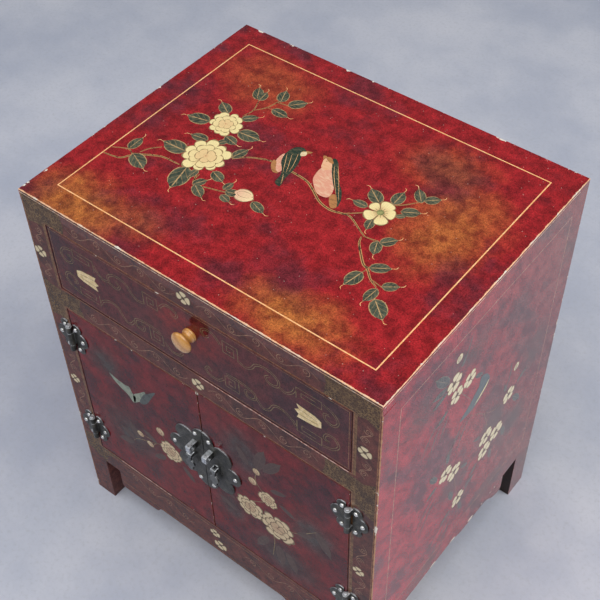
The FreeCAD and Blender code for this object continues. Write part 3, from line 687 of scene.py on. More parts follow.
def blade_brush(name, outline):
    """A tree that lays one blade on every point. The outline gives its width from base to tip."""
    sizes = {"Columns": "Int", "Rows": "Int", "Crown": "Float", "Round Tip": "Float"}
    tree, given, made = brush(name, sizes)
    square_grid = {"Size X": 1.0, "Size Y": 1.0, "Vertices X": given["Columns"], "Vertices Y": given["Rows"]}
    grid = add(tree, "GeometryNodeMeshGrid", square_grid).outputs
    u, v = split(tree, grid["UV Map"])[:2]
    curve = add(tree, "ShaderNodeFloatCurve", {"Value": v})
    stops = curve.mapping.curves[0].points
    stops[0].location, stops[1].location = outline[0], outline[-1]
    for x, y in outline[1:-1]:
        stops.new(x, y)
    curve.mapping.update()
    width = curve.outputs[0]
    across = calc(tree, "SUBTRACT", u, 0.5)
    out = calc(tree, "ABSOLUTE", times(tree, across, 2.0))
    square = times(tree, out, out)
    along = calc(tree, "SUBTRACT", v, times(tree, square, v, given["Round Tip"]))
    crown = times(tree, given["Crown"], calc(tree, "SUBTRACT", 1.0, square))
    place = joined(tree, times(tree, across, width), along, crown)
    shaped = add(tree, "GeometryNodeSetPosition", {"Geometry": grid["Mesh"], "Position": place}).outputs[0]
    from_side = times(tree, calc(tree, "SUBTRACT", 0.5, calc(tree, "ABSOLUTE", across)), width)
    from_tip = times(tree, calc(tree, "SUBTRACT", 1.0, v), 0.6)
    rim = calc(tree, "MINIMUM", from_side, from_tip)
    shaped = kept(tree, shaped, "blade", joined(tree, u, v, rim), "FLOAT_VECTOR")
    painted(tree, made, on_marks(tree, given["Geometry"], shaped), given["Paint"])
    return tree


PETAL_WIDTHS = [(0, 0.22), (0.3, 0.6), (0.7, 1.0), (0.92, 0.92), (1, 0.6)]
LEAF_WIDTHS = [(0, 0.0), (0.08, 0.5), (0.3, 0.93), (0.5, 1.0), (0.72, 0.9), (0.9, 0.52), (1, 0.0)]
petal_brush = blade_brush("petal brush", PETAL_WIDTHS)
leaf_brush = blade_brush("leaf brush", LEAF_WIDTHS)
print("brushes:", petal_brush.name, leaf_brush.name)

# %% [markdown]
# The line brush turns a path of edges into a smooth curve and sweeps a flat ribbon along it. The outline
# brush closes a path and fills it. The spiral brush lays one curl on every point, for the scrolls.

# %% Line, outline and spiral brushes
def smooth_path(tree, edges, step, curvy):
    """A path of edges as a curve, rounded through its points and evenly divided if it is curvy."""
    curve = add(tree, "GeometryNodeMeshToCurve", {"Mesh": edges}).outputs[0]
    if not curvy:
        return curve
    curve = add(tree, "GeometryNodeCurveSplineType", {"Curve": curve}, spline_type="CATMULL_ROM").outputs[0]
    return add(tree, "GeometryNodeResampleCurve", {"Curve": curve, "Length": step}, mode="LENGTH").outputs[0]


def swept(tree, curve, width, swell):
    """A flat ribbon along a curve, with how far each spot is across it."""
    curve = add(tree, "GeometryNodeSetCurveNormal", {"Curve": curve}, mode="Z_UP").outputs[0]
    half = times(tree, width, 0.5)
    ends = {"Start": joined(tree, times(tree, half, -1.0), 0.0, 0.0), "End": joined(tree, half, 0.0, 0.0)}
    line = add(tree, "GeometryNodeCurvePrimitiveLine", ends).outputs[0]
    line = kept(tree, line, "side", add(tree, "GeometryNodeSplineParameter").outputs["Factor"])
    inputs = {"Curve": curve, "Profile Curve": line, "Scale": swell}
    return add(tree, "GeometryNodeCurveToMesh", inputs).outputs[0]


def line_brush(name, curvy):
    """A tree that paints every path as a line."""
    tree, given, made = brush(name, {"Width": "Float", "Step": "Float"})
    curve = smooth_path(tree, given["Geometry"], given["Step"], curvy)
    painted(tree, made, swept(tree, curve, given["Width"], named(tree, "swell")), given["Paint"])
    return tree


def outline_brush(name, curvy):
    """A tree that fills every closed path."""
    tree, given, made = brush(name, {"Lift": "Float", "Step": "Float"})
    curve = smooth_path(tree, given["Geometry"], given["Step"], curvy)
    each = add(tree, "GeometryNodeInputIndex").outputs[0]
    filled = add(tree, "GeometryNodeFillCurve", {"Curve": curve, "Group ID": each}).outputs[0]
    up = joined(tree, 0.0, 0.0, given["Lift"])
    raised = add(tree, "GeometryNodeSetPosition", {"Geometry": filled, "Offset": up}).outputs[0]
    painted(tree, made, raised, given["Paint"])
    return tree


def spiral_brush(name):
    """A tree that rolls up a line on every point."""
    tree, given, made = brush(name, {"Turns": "Float", "Width": "Float"})
    roll = {"Resolution": 22, "Rotations": given["Turns"], "Start Radius": 0.1, "End Radius": 1.0, "Height": 0.0}
    curls = on_marks(tree, given["Geometry"], add(tree, "GeometryNodeCurveSpiral", roll).outputs[0])
    curls = add(tree, "GeometryNodeRealizeInstances", {0: curls}).outputs[0]
    painted(tree, made, swept(tree, curls, given["Width"], 1.0), given["Paint"])
    return tree


line_round, line_straight = line_brush("line brush", True), line_brush("ruled line", False)
outline_round, outline_straight = outline_brush("outline brush", True), outline_brush("ruled outline", False)
curl_brush = spiral_brush("curl brush")
print("brushes:", len([group for group in bpy.data.node_groups if group.type == "GEOMETRY"]))

# %% [markdown]
# A brush needs points or paths to work on. `marks` makes loose points that carry a turn, a reach, a width
# and a tone; `paths` makes chains of edges. `grow` runs the tree and takes the result as a plain mesh, and
# `lay` turns that flat sheet onto the top, the front or a side.

# %% Marks and paths
def blade(x0, y0, x1, y1, spread, lift, tone=0.0):
    """One mark from its base to its tip."""
    return (x0, y0, lift, math.atan2(y1 - y0, x1 - x0) - math.pi / 2, math.hypot(x1 - x0, y1 - y0), spread, tone)


def marks(rows):
    """Loose points, each with its turn, reach, spread and tone."""
    mesh = bpy.data.meshes.new("marks")
    mesh.from_pydata([row[:3] for row in rows], [], [])
    for column, label in enumerate(("turn", "reach", "spread", "tone"), 3):
        mesh.attributes.new(label, "FLOAT", "POINT").data.foreach_set("value", [row[column] for row in rows])
    return mesh


def paths(lines, lift=0.0, closed=False, taper=0.0):
    """Chains of edges through points; an open line may thin towards its ends."""
    points, edges, swell = [], [], []
    for line in lines:
        first, last = len(points), len(points) + len(line) - 1
        points += [(x, y, lift) for x, y in line]
        swell += [1 - taper * abs(2 * k / (len(line) - 1) - 1) ** 2 for k in range(len(line))]
        edges += [(k, k + 1) for k in range(first, last)] + ([(last, first)] if closed else [])
    mesh = bpy.data.meshes.new("paths")
    mesh.from_pydata(points, edges, [])
    mesh.attributes.new("swell", "FLOAT", "POINT").data.foreach_set("value", swell)
    return mesh


def grow(source, tree, sizes):
    """Runs a tree on points or paths and returns a plain mesh."""
    seed = bpy.data.objects.new("seed", source)
    bpy.context.scene.collection.objects.link(seed)
    run = seed.modifiers.new("grow", "NODES")
    run.node_group = tree
    for socket in tree.interface.items_tree:
        if socket.in_out == "INPUT" and socket.name in sizes:
            run[socket.identifier] = sizes[socket.name]
    depsgraph = bpy.context.evaluated_depsgraph_get()
    mesh = bpy.data.meshes.new_from_object(seed.evaluated_get(depsgraph), depsgraph=depsgraph)
    seed.modifiers.remove(run)
    bpy.data.objects.remove(seed)
    if sum(face.normal.z * face.area for face in mesh.polygons) < 0:
        mesh.flip_normals()
    return mesh


print("marks and paths ready")

# %% Laying them on
def sheet(right, up, out, origin):
    """A matrix that lays a drawing in millimetres on a face of the cabinet."""
    return Matrix.Translation(origin) @ Matrix((right, up, out)).transposed().to_4x4() @ Matrix.Scale(MM, 4)


sheets = {
    "top": sheet((1, 0, 0), (0, 1, 0), (0, 0, 1), (0, 0, top_z - SKIN)),
    "front": sheet((1, 0, 0), (0, 0, 1), (0, -1, 0), (0, front_y, 0)),
    "right": sheet((0, 1, 0), (0, 0, 1), (1, 0, 0), (side_x - SKIN, 0, 0)),
    "left": sheet((0, 1, 0), (0, 0, 1), (-1, 0, 0), (SKIN - side_x, 0, 0)),
}
TOP = ("top", "carcass", "top_lacquer")
FRAME = ("front", "carcass", "frame_lacquer")
DRAWER = ("front", "drawer", "drawer_lacquer")
LEFT_DOOR = ("front", "left_door", "door_lacquer")
RIGHT_DOOR = ("front", "right_door", "door_lacquer")
BLADE = {"Columns": 7, "Rows": 8, "Crown": 0.03, "Round Tip": 0.1}
laid = []


def lay(name, spot, mesh):
    """Lays a flat painted mesh on a face of the cabinet."""
    face, body, slot = spot
    mesh.transform(sheets[face])
    if face == "left":
        mesh.flip_normals()
    laid.append(show(name, mesh, body, slot))


def dabs(name, spot, paint, tree, rows, **sizes):
    """Paints petals, leaves or buds."""
    lay(name, spot, grow(marks(rows), tree, {**BLADE, **sizes, "Paint": paint}))


def strokes(name, spot, paint, lines, width, lift, taper=0.0, step=2.0):
    """Paints smooth lines that may thin towards their ends."""
    lay(name, spot, grow(paths(lines, lift, taper=taper), line_round, {"Width": width, "Step": step, "Paint": paint}))


def rules(name, spot, paint, lines, width, lift, closed=False):
    """Paints straight lines with sharp corners."""
    lay(name, spot, grow(paths(lines, lift, closed), line_straight, {"Width": width, "Paint": paint}))


def fill(name, spot, paint, outlines, lift, curvy=True):
    """Fills shapes with one paint, at one height."""
    tree = outline_round if curvy else outline_straight
    lay(name, spot, grow(paths(outlines, closed=True), tree, {"Lift": lift, "Step": 1.0, "Paint": paint}))


print("faces to paint:", list(sheets))

# %% [markdown]
# ## Paints
# The petals are cream with a pink heart and thin brown outlines; the leaves are dark green with gilt veins
# and rims. A material can draw those lines itself from the blade attribute, with no extra geometry. The
# older, dustier colours of the front and sides use the same functions with other values.

# %% Petal and leaf paints
def matte(shader, rough, varnish):
    """Paint over the lacquer with little gloss, or under it with the gloss of the board's own coat."""
    shader.inputs["Roughness"].default_value = rough
    shader.inputs["Specular IOR Level"].default_value = 0.0 if varnish else 0.35
    shader.inputs["Coat Weight"].default_value = varnish
    shader.inputs["Coat Roughness"].default_value = 0.16 if varnish == SIDE_COAT else 0.09


def petal_paint(name, edge, heart, line, ink, shadow, varnish=0.0):
    """A petal that darkens to its heart, with fine streaks and an outline in ink."""
    edge, heart, line = tint(*edge), tint(*heart), tint(*line)
    material, tree, shader, point = blank(name)
    u, v, rim = split(tree, stored(tree, "blade", "Vector"))
    depth = either(tree, stored(tree, "tone"), fade(tree, v, shadow, 0.0, 0, 0.75))
    streak = fade(tree, calc(tree, "SINE", times(tree, u, 44.0)), 0.4, 1.0, 0, 0.22)
    colour = mixed(tree, depth, edge, heart)
    colour = mixed(tree, times(tree, streak, fade(tree, v, 1.0, 0.3)), colour, line)
    colour = mixed(tree, fade(tree, cloud(tree, point, 500, 3), 0.45, 0.85, 0, 0.2), colour, line)
    feed(tree, shader.inputs["Base Color"], mixed(tree, fade(tree, rim, ink, ink * 0.45, 0, 0.85), colour, line))
    matte(shader, 0.5, varnish)
    return material


def leaf_paint(name, pale, dark, gilt, lines, varnish=0.0):
    """A leaf in two greens with gilt rim, midrib and side veins."""
    material, tree, shader, point = blank(name)
    u, v, rim = split(tree, stored(tree, "blade", "Vector"))
    out = calc(tree, "ABSOLUTE", calc(tree, "SUBTRACT", u, 0.5))
    colour = mixed(tree, fade(tree, cloud(tree, point, 160, 4), 0.35, 0.65), tint(*dark), tint(*pale))
    rib = fade(tree, out, 0.045, 0.02)
    slant = calc(tree, "FRACT", calc(tree, "SUBTRACT", times(tree, v, 4.0), times(tree, out, 3.4)))
    vein = fade(tree, calc(tree, "ABSOLUTE", calc(tree, "SUBTRACT", slant, 0.5)), 0.09, 0.03)
    gold = times(tree, either(tree, rib, times(tree, vein, 0.4), fade(tree, rim, 0.06, 0.035)), lines)
    thin = times(tree, gold, fade(tree, cloud(tree, point, 420, 2), 0.3, 0.5, 0.25, 1))
    feed(tree, shader.inputs["Base Color"], mixed(tree, thin, colour, tint(*gilt)))
    matte(shader, 0.42, varnish)
    return material


cream_petal = petal_paint("cream_petals", (0.88, 0.73, 0.36), (0.76, 0.44, 0.22), (0.17, 0.09, 0.035), 0.075, 0.66)
pink_petal = petal_paint("pink_petals", (0.88, 0.7, 0.4), (0.82, 0.43, 0.3), (0.17, 0.09, 0.035), 0.075, 0.95)
old_petal = petal_paint(
    "old_petals", (0.74, 0.58, 0.35), (0.44, 0.23, 0.14), (0.08, 0.036, 0.016), 0.12, 0.75, FRONT_COAT)
small_petal = petal_paint(
    "small_petals", (0.78, 0.64, 0.4), (0.07, 0.035, 0.02), (0.08, 0.04, 0.02), 0.1, 0.3, FRONT_COAT)
side_petal = petal_paint(
    "side_petals", (0.92, 0.8, 0.52), (0.12, 0.06, 0.035), (0.2, 0.1, 0.05), 0.085, 0.28, SIDE_COAT)
green_leaf = leaf_paint("green_leaves", (0.1, 0.11, 0.07), (0.032, 0.046, 0.033), (0.56, 0.35, 0.16), 0.95)
dusk_leaf = leaf_paint(
    "dusk_leaves", (0.095, 0.056, 0.048), (0.075, 0.042, 0.038), (0.13, 0.08, 0.055), 0.45, FRONT_COAT)
side_leaf = leaf_paint("side_leaves", (0.12, 0.125, 0.11), (0.085, 0.075, 0.07), (0.3, 0.22, 0.16), 0.7, SIDE_COAT)
print("petal and leaf paints:", 8)

# %% Line and feather paints
def line_paint(name, bright, dull, varnish=0.0):
    """Gilding or colour that has worn thin in places."""
    material, tree, shader, point = blank(name)
    thin = fade(tree, cloud(tree, point, 260, 3, 0.7), 0.35, 0.62)
    feed(tree, shader.inputs["Base Color"], mixed(tree, thin, tint(*bright), tint(*dull)))
    matte(shader, 0.5 if varnish else 0.4, varnish)
    return material


def branch_paint(name, bark, gilt):
    """A dark branch with broken gilt along both edges."""
    material, tree, shader, point = blank(name)
    edge = fade(tree, calc(tree, "ABSOLUTE", calc(tree, "SUBTRACT", stored(tree, "side"), 0.5)), 0.14, 0.26)
    broken = times(tree, edge, fade(tree, cloud(tree, point, 240, 2), 0.34, 0.44))
    feed(tree, shader.inputs["Base Color"], mixed(tree, broken, tint(*bark), tint(*gilt)))
    matte(shader, 0.45, 0.0)
    return material


def feather_paint(name, ground, barb, along, share, varnish=0.0):
    """Plumage: short strokes that run along the bird."""
    material, tree, shader, point = blank(name)
    pull = {"Vector": point, "Rotation": (0, 0, along), "Scale": (130, 520, 130)}
    barbs = cloud(tree, add(tree, "ShaderNodeMapping", pull).outputs[0], 1.0, 3, 0.7)
    colour = mixed(tree, fade(tree, barbs, 0.48, 0.62, 0, share), tint(*ground), tint(*barb))
    feed(tree, shader.inputs["Base Color"], colour)
    matte(shader, 0.5, varnish)
    return material


gilt_line = line_paint("gilt_lines", (1.0, 0.6, 0.3), (0.9, 0.44, 0.17))
olive_line = line_paint("olive_lines", (0.31, 0.225, 0.11), (0.17, 0.11, 0.055), FRONT_COAT)
rose_line = line_paint("rose_lines", (0.42, 0.23, 0.14), (0.22, 0.11, 0.07), FRONT_COAT)
bronze_line = line_paint("bronze_lines", (0.42, 0.21, 0.1), (0.22, 0.09, 0.04), FRONT_COAT)
side_line = line_paint("side_lines", (0.3, 0.17, 0.12), (0.2, 0.1, 0.075), SIDE_COAT)
side_rule = line_paint("side_rules", (0.66, 0.44, 0.3), (0.42, 0.22, 0.16), SIDE_COAT)
edge_gilt = line_paint("edge_gilt", (1.0, 0.8, 0.6), (0.62, 0.3, 0.16))
twig = branch_paint("gilt_branch", (0.06, 0.034, 0.02), (0.55, 0.3, 0.11))
green_feather = feather_paint("green_feathers", (0.02, 0.038, 0.025), (0.11, 0.1, 0.055), -1.1, 0.7)
pink_feather = feather_paint("pink_feathers", (0.72, 0.33, 0.22), (0.8, 0.52, 0.34), 1.2, 0.8)
peach_feather = feather_paint("peach_feathers", (0.8, 0.46, 0.27), (0.72, 0.34, 0.16), 0.9, 0.6)
pale_feather = feather_paint("pale_feathers", (0.8, 0.66, 0.4), (0.55, 0.36, 0.2), 0.4, 0.5)
tan_feather = feather_paint("tan_feathers", (0.45, 0.2, 0.07), (0.2, 0.09, 0.035), -0.9, 0.6)
grey_feather = feather_paint("grey_feathers", (0.3, 0.33, 0.25), (0.17, 0.2, 0.16), 0.6, 0.8, FRONT_COAT)
slate_feather = feather_paint("slate_feathers", (0.09, 0.1, 0.095), (0.05, 0.055, 0.055), 0.6, 0.8, FRONT_COAT)
blue_feather = feather_paint("blue_feathers", (0.1, 0.125, 0.13), (0.17, 0.18, 0.17), 0.3, 0.7, SIDE_COAT)
print("line and feather paints:", 16)

# %% [markdown]
# ## The painted top
# A gilt frame line runs round the top. Inside it a branch carries two peonies, a bud, an open five-petalled
# flower and two small birds. All places are in millimetres from the middle of the top.

# %% Flowers by rule
def ring(x, y, count, inner, outer, spread, lift, tone, start=0.0, loose=0.16):
    """Petals in a ring, each laid a touch over the one before."""
    rows, hand = [], random.Random(round(x + 7 * y + count))
    for k in range(count):
        a = start + 2 * math.pi * (k + hand.uniform(-loose, loose)) / count
        c, s, far = math.cos(a), math.sin(a), outer * hand.uniform(0.9, 1.06)
        width, step = spread * hand.uniform(0.9, 1.12), 0.003 * hand.randrange(3)
        rows.append(blade(x + inner * c, y + inner * s, x + far * c, y + far * s, width, lift + step, tone))
    return rows


def peony(x, y, radius, start=0.0):
    """A full double flower: three rings of petals that shrink towards the heart."""
    return (ring(x, y, 10, 0.2 * radius, radius, 0.66, 0.05, 0.0, start)
            + ring(x, y, 8, 0.1 * radius, 0.72 * radius, 0.72, 0.08, 0.15, start + 0.3)
            + ring(x, y, 5, 0.02 * radius, 0.44 * radius, 0.95, 0.11, 0.5, start + 0.1))


def open_flower(x, y, radius, petals=5, start=0.3):
    """A single flower with a small ring of stamens."""
    return (ring(x, y, petals, 0.1 * radius, radius, 4.7 / petals, 0.05, 0.0, start, 0.05)
            + ring(x, y, 2 * petals, 0.05 * radius, 0.27 * radius, 0.6, 0.09, 0.95, start))


def bud(x0, y0, x1, y1, width=0.85):
    """A round bud: one petal wrapped over another."""
    wide, high = (y1 - y0) * 0.12, (x1 - x0) * 0.12
    over = blade(x0 + high, y0 + wide, x1 - high - wide, y1 - wide + high, width * 0.6, 0.08, 0.4)
    return [blade(x0, y0, x1, y1, width, 0.05, 0.1), over]


FLOWER_X, FLOWER_Y = 88, 21
top_petals = peony(-109, -19, 27.5) + peony(-127, 34, 20.5, 0.4) + open_flower(FLOWER_X, FLOWER_Y, 18)
dabs("top_petals", TOP, cream_petal, petal_brush, top_petals)
dabs("top_bud", TOP, pink_petal, leaf_brush, bud(-49, -43, -24, -41, 0.76))
print("petals on the top:", len(top_petals))

# %% Leaves and branch
TOP_LEAVES = [
    (-183, -60, -183, -36), (-174, -62, -147, -74), (-130, -26, -163, -28), (-124, 2, -147, -2),
    (-106, 14, -114, 3), (-113, -43, -105, -80), (-101, -40, -102, -57), (-87, -33, -67, -40),
    (-91, -61, -82, -46), (-89, -59, -69, -71), (-60, -48, -58, -33), (-57, -55, -42, -59), (-25, -44, -4, -51),
    (-143, 27, -172, 20), (-136, 49, -156, 61), (-119, 50, -104, 65), (-108, 32, -78, 35), (-114, 18, -94, 14),
    (-86, -5, -79, 17), (-57, -49, -40, -43), (80, 31, 59, 45), (73, 20, 54, 19), (87, 9, 91, -8),
    (91, 38, 90, 61), (113, 57, 98, 74), (113, 61, 127, 74), (103, 34, 122, 45), (103, 25, 112, 33),
    (109, -13, 117, -32), (112, -15, 125, 0), (123, -48, 143, -35), (122, -56, 117, -81), (147, -61, 162, -50),
    (146, -65, 144, -87), (151, -77, 173, -95), (-124, 87, -126, 105), (-127, 87, -139, 107),
    (-103, 99, -111, 120), (-93, 99, -77, 117), (-103, 84, -79, 83),
]
TOP_BRANCHES = [
    [(-200, -80), (-181, -76), (-174, -67), (-166, -59), (-153, -51), (-142, -47), (-122, -46)],
    [(-84, -6), (-72, 6), (-49, 16), (-23, 16), (-1, 14), (12, 8), (30, -3), (46, -6), (58, -3), (68, -2),
     (85, -11), (95, -16)],
    [(93, -18), (96, -26), (103, -34), (116, -47), (123, -50), (133, -59), (143, -64)],
]
TOP_TWIGS = [
    [(-199, -68), (-183, -60), (-173, -64)], [(-169, -56), (-165, -46), (-156, -36)],
    [(95, -16), (103, -15), (110, -13)], [(58, -3), (68, 5), (80, 16)], [(92, 37), (101, 45), (113, 60)],
    [(-121, 55), (-118, 70), (-124, 87)], [(-118, 70), (-109, 83), (-105, 100), (-100, 106)],
    [(-109, 83), (-103, 84)], [(-105, 97), (-93, 99)],
    [(-95, -45), (-91, -59), (-70, -54), (-57, -50), (-46, -45)], [(116, -47), (123, -48)],
    [(123, -50), (122, -57)], [(133, -59), (147, -61)], [(143, -64), (151, -77)],
    [(-100, -42), (-95, -52), (-91, -59)],
]
TAIL_LENGTH = 5.0


def tails(leaves):
    """The curled gilt line in which each painted leaf ends."""
    lines = []
    for x0, y0, x1, y1 in leaves:
        reach = math.hypot(x1 - x0, y1 - y0)
        dx, dy = TAIL_LENGTH * (x1 - x0) / reach, TAIL_LENGTH * (y1 - y0) / reach
        curl = (x1 + dx - 0.5 * dy, y1 + dy + 0.5 * dx)
        lines.append([(x1 - 0.2 * dx, y1 - 0.2 * dy), (x1 + 0.6 * dx, y1 + 0.6 * dy), curl])
    return lines


leaf_rows = [blade(*leaf, 0.62 if k % 3 else 0.54, 0.03 + 0.005 * (k % 4)) for k, leaf in enumerate(TOP_LEAVES)]
dabs("top_leaves", TOP, green_leaf, leaf_brush, leaf_rows)
strokes("top_leaf_tails", TOP, gilt_line, tails(TOP_LEAVES), 0.7, 0.02, taper=0.6, step=1.2)
strokes("top_branches", TOP, twig, TOP_BRANCHES, 2.8, 0.015, taper=0.5)
strokes("top_twigs", TOP, twig, TOP_TWIGS, 1.5, 0.012, taper=0.3)
print("leaves:", len(TOP_LEAVES), "twigs:", len(TOP_BRANCHES) + len(TOP_TWIGS))

# %% Two birds and the gilt frame line
GREEN_BACK = [
    (-27, 49), (-34, 53), (-41, 50), (-44, 43), (-44, 33), (-40, 22), (-32, 13), (-27, 4), (-25, -7), (-17, -9),
    (-20, 3), (-21, 18), (-24, 32), (-28, 42),
]
PINK_RUMP = [(-45, 34), (-46, 23), (-41, 11), (-33, 6), (-31, 13), (-38, 25)]
PINK_BREAST = [(0, 33), (3, 21), (10, 13), (19, 6), (28, 5), (33, 9), (30, 20), (20, 34), (10, 45), (1, 42)]
DARK_WING = [
    (1, 58), (5, 59), (12, 53), (18, 44), (27, 33), (38, 23), (46, 11), (48, 1), (37, 15), (25, 26), (12, 41),
    (6, 50),
]
HEAD = [(-6, 51), (-6, 56), (-1, 57), (5, 51), (9, 44), (5, 39), (-1, 40), (-4, 46)]
CROWN = [(-6, 56), (-1, 58), (6, 52), (2, 51), (-3, 53)]
TAIL_TIP = [(33, 9), (37, 15), (48, 1), (43, -3)]
BEAKS = [[(-29, 51), (-22, 53), (-26, 47)], [(-6, 57), (-10, 56), (-6, 51)]]
RUMP_SHADE = [(-48, 19), (-44, 19), (-37, 9), (-31, 6), (-37, 4), (-45, 11)]
CHEEK = [(-32, 46), (-28, 50), (-25, 45), (-29, 41)]
QUILLS = [
    [(-43, 36), (-36, 24), (-28, 10)], [(-38, 38), (-32, 26), (-25, 12)], [(-33, 42), (-28, 30), (-23, 14)],
    [(-26, 8), (-22, 2), (-18, -6)], [(12, 52), (24, 37), (44, 10)], [(9, 50), (18, 37), (36, 16)],
    [(14, 46), (20, 42)], [(22, 36), (28, 33)], [(30, 27), (35, 24)],
]
STAMENS = 13


def round_flower(radius):
    """Points round the middle of the open flower, one for each stamen."""
    turns = [2 * math.pi * k / STAMENS for k in range(STAMENS)]
    return [(FLOWER_X + radius * math.cos(a), FLOWER_Y + radius * math.sin(a)) for a in turns]


TOP_FRAME = [(-201, -145), (201, -145), (201, 162), (-201, 162)]
fill("bird_pink", TOP, pink_feather, [PINK_RUMP, PINK_BREAST], 0.06)
fill("bird_head", TOP, peach_feather, [HEAD], 0.08)
fill("bird_tan", TOP, tan_feather, [TAIL_TIP, *BEAKS, RUMP_SHADE, CROWN], 0.1)
fill("bird_green", TOP, green_feather, [GREEN_BACK, DARK_WING], 0.09)
fill("bird_pale", TOP, pale_feather, [CHEEK], 0.11)
strokes("bird_quills", TOP, gilt_line, QUILLS, 0.45, 0.12, taper=0.6, step=1.5)
eyes = [row for x, y in ((-31, 48), (-2, 51)) for row in ring(x, y, 5, 0.1, 1.1, 0.9, 0.14, 1.0)]
dabs("bird_eyes", TOP, twig, petal_brush, eyes, Columns=3, Rows=3)
stamen_olive = line_paint("stamen_olive", (0.34, 0.34, 0.13), (0.17, 0.18, 0.07))
fill("flower_heart", TOP, stamen_olive, [round_flower(4)], 0.13)
stamens = list(zip(*[round_flower(radius) for radius in (3.5, 5.5, 7.5)]))
strokes("flower_stamens", TOP, stamen_olive, stamens, 0.6, 0.12, taper=0.4, step=1.0)
rules("top_frame_line", TOP, gilt_line, [TOP_FRAME], 1.9, 0.02, closed=True)
print("painted layers so far:", len(laid))

# %% [markdown]
# ## The painted front
# The frame carries worn gilt lines along every opening, corners of dense brocade, running scrolls and small
# four-petalled flowers. The drawer has two cream darts among ribbons that curl and turn into key frets, and
# the doors have peonies, a small grey bird and washed-in leaves. Each mark rides on the board that it is
# painted on, so the front is laid in four sets: frame, drawer, left door and right door.

# %% Brocade corners
def brocade_paint(name):
    """Brown brocade: an uneven web of worn gilt over a dark ground."""
    material, tree, shader, point = blank(name)
    web = {"Vector": point, "Scale": 300.0}
    cells = add(tree, "ShaderNodeTexVoronoi", web, feature="DISTANCE_TO_EDGE").outputs["Distance"]
    thin = fade(tree, cloud(tree, point, 130, 4, 0.7), 0.35, 0.62, 0.2, 1)
    threads = times(tree, fade(tree, cells, 0.14, 0.04), thin)
    blotch = fade(tree, cloud(tree, point, 60, 4), 0.35, 0.65)
    ground = mixed(tree, blotch, tint(0.045, 0.02, 0.011), tint(0.085, 0.04, 0.018))
    feed(tree, shader.inputs["Base Color"], mixed(tree, threads, ground, tint(0.24, 0.14, 0.055)))
    matte(shader, 0.4, FRONT_COAT)
    return material


brocade = brocade_paint("brocade")
CORNERS = [
    [(165, 551), (168, 539), (165, 521), (198, 521), (199, 517), (213, 521), (227, 515), (227, 551)],
    [(-171, 551), (-169, 533), (-171, 521), (-198, 521), (-199, 512), (-213, 514), (-227, 510), (-227, 551)],
    [(166, 421), (167, 409), (163, 392), (199, 392), (199, 373), (210, 369), (227, 362), (227, 426), (213, 416),
     (204, 418)],
    [(-170, 421), (-173, 408), (-169, 392), (-199, 392), (-199, 366), (-213, 368), (-227, 364), (-227, 423),
     (-213, 419), (-204, 419)],
    [(162, 119), (176, 112), (190, 106), (196, 86), (206, 92), (227, 100), (227, 132), (213, 137), (199, 134),
     (199, 119)],
    [(-162, 119), (-176, 112), (-190, 106), (-196, 86), (-206, 92), (-227, 100), (-227, 132), (-213, 137),
     (-199, 134), (-199, 119)],
]
fill("frame_brocade", FRAME, brocade, CORNERS, 0.03, curvy=False)
print("brocade corners:", len(CORNERS))

# %% Frame lines
def box_line(x, low, high):
    """A rectangle from -x to x."""
    return [(-x, low), (x, low), (x, high), (-x, high)]


OPENINGS = [box_line(199.6, 422, 520.6), box_line(199.6, 119.6, 391.4)]
EDGES = [[(side * 227.6, 2), (side * 227.6, 551)] for side in (-1, 1)]
EDGES += [[(-171, 64), (171, 64)], [(-196, 112), (196, 112)]]
# Pale pink lines on the rails' top edges, below the drawer and the left door: a painted highlight where those edges
# catch the light from above.
RAIL_HIGHLIGHT_LINES = [[(5, 421.6), (195, 421.6)], [(-163, 118.6), (-76, 118.6)]]
BANDS = [[(side * 201.8, low), (side * 201.8, high)] for side in (-1, 1) for low, high in ((119, 391), (422, 521))]
FRONT_EDGE = [(-229, 549.2), (229, 549.2)]
rail_highlight = line_paint("rail_highlight", (0.95, 0.66, 0.54), (0.45, 0.18, 0.12), FRONT_COAT)
bronze_band = line_paint("bronze_band", (0.24, 0.125, 0.055), (0.12, 0.055, 0.028), FRONT_COAT)
rules("frame_opening_lines", FRAME, bronze_line, OPENINGS, 1.1, 0.05, closed=True)
rules("frame_edge_lines", FRAME, bronze_line, EDGES, 0.9, 0.05)
rules("frame_highlight_lines", FRAME, rail_highlight, RAIL_HIGHLIGHT_LINES, 1.5, 0.07)
rules("frame_bands", FRAME, bronze_band, BANDS, 3.0, 0.04)
rules("front_edge_gilt", FRAME, edge_gilt, [FRONT_EDGE], 0.9, 0.06)
print("ruled lines:", len(OPENINGS) + len(EDGES) + len(RAIL_HIGHLIGHT_LINES) + len(BANDS) + 1)

# %% Running scrolls and small flowers
def scroll(x0, z0, x1, z1, count, reach):
    """A wave from one point to another, and the spirals that roll up in its bays."""
    dx, dz, length = x1 - x0, z1 - z0, math.hypot(x1 - x0, z1 - z0)
    nx, nz = -dz / length, dx / length
    wave, rolls = [], []
    for k in range(4 * count + 1):
        x, z = x0 + dx * k / (4 * count), z0 + dz * k / (4 * count)
        swing = reach * math.sin(k * math.pi / 4)
        wave.append((x + nx * swing, z + nz * swing))
        if k % 4 == 2:
            hand = 0.2 * reach if k % 8 == 2 else -0.2 * reach
            turn = math.atan2(nz, nx) + (0 if hand > 0 else math.pi)
            rolls.append((x + nx * hand, z + nz * hand, 0.04, turn, 0.72 * reach, 1.0, 0.0))
    return wave, rolls


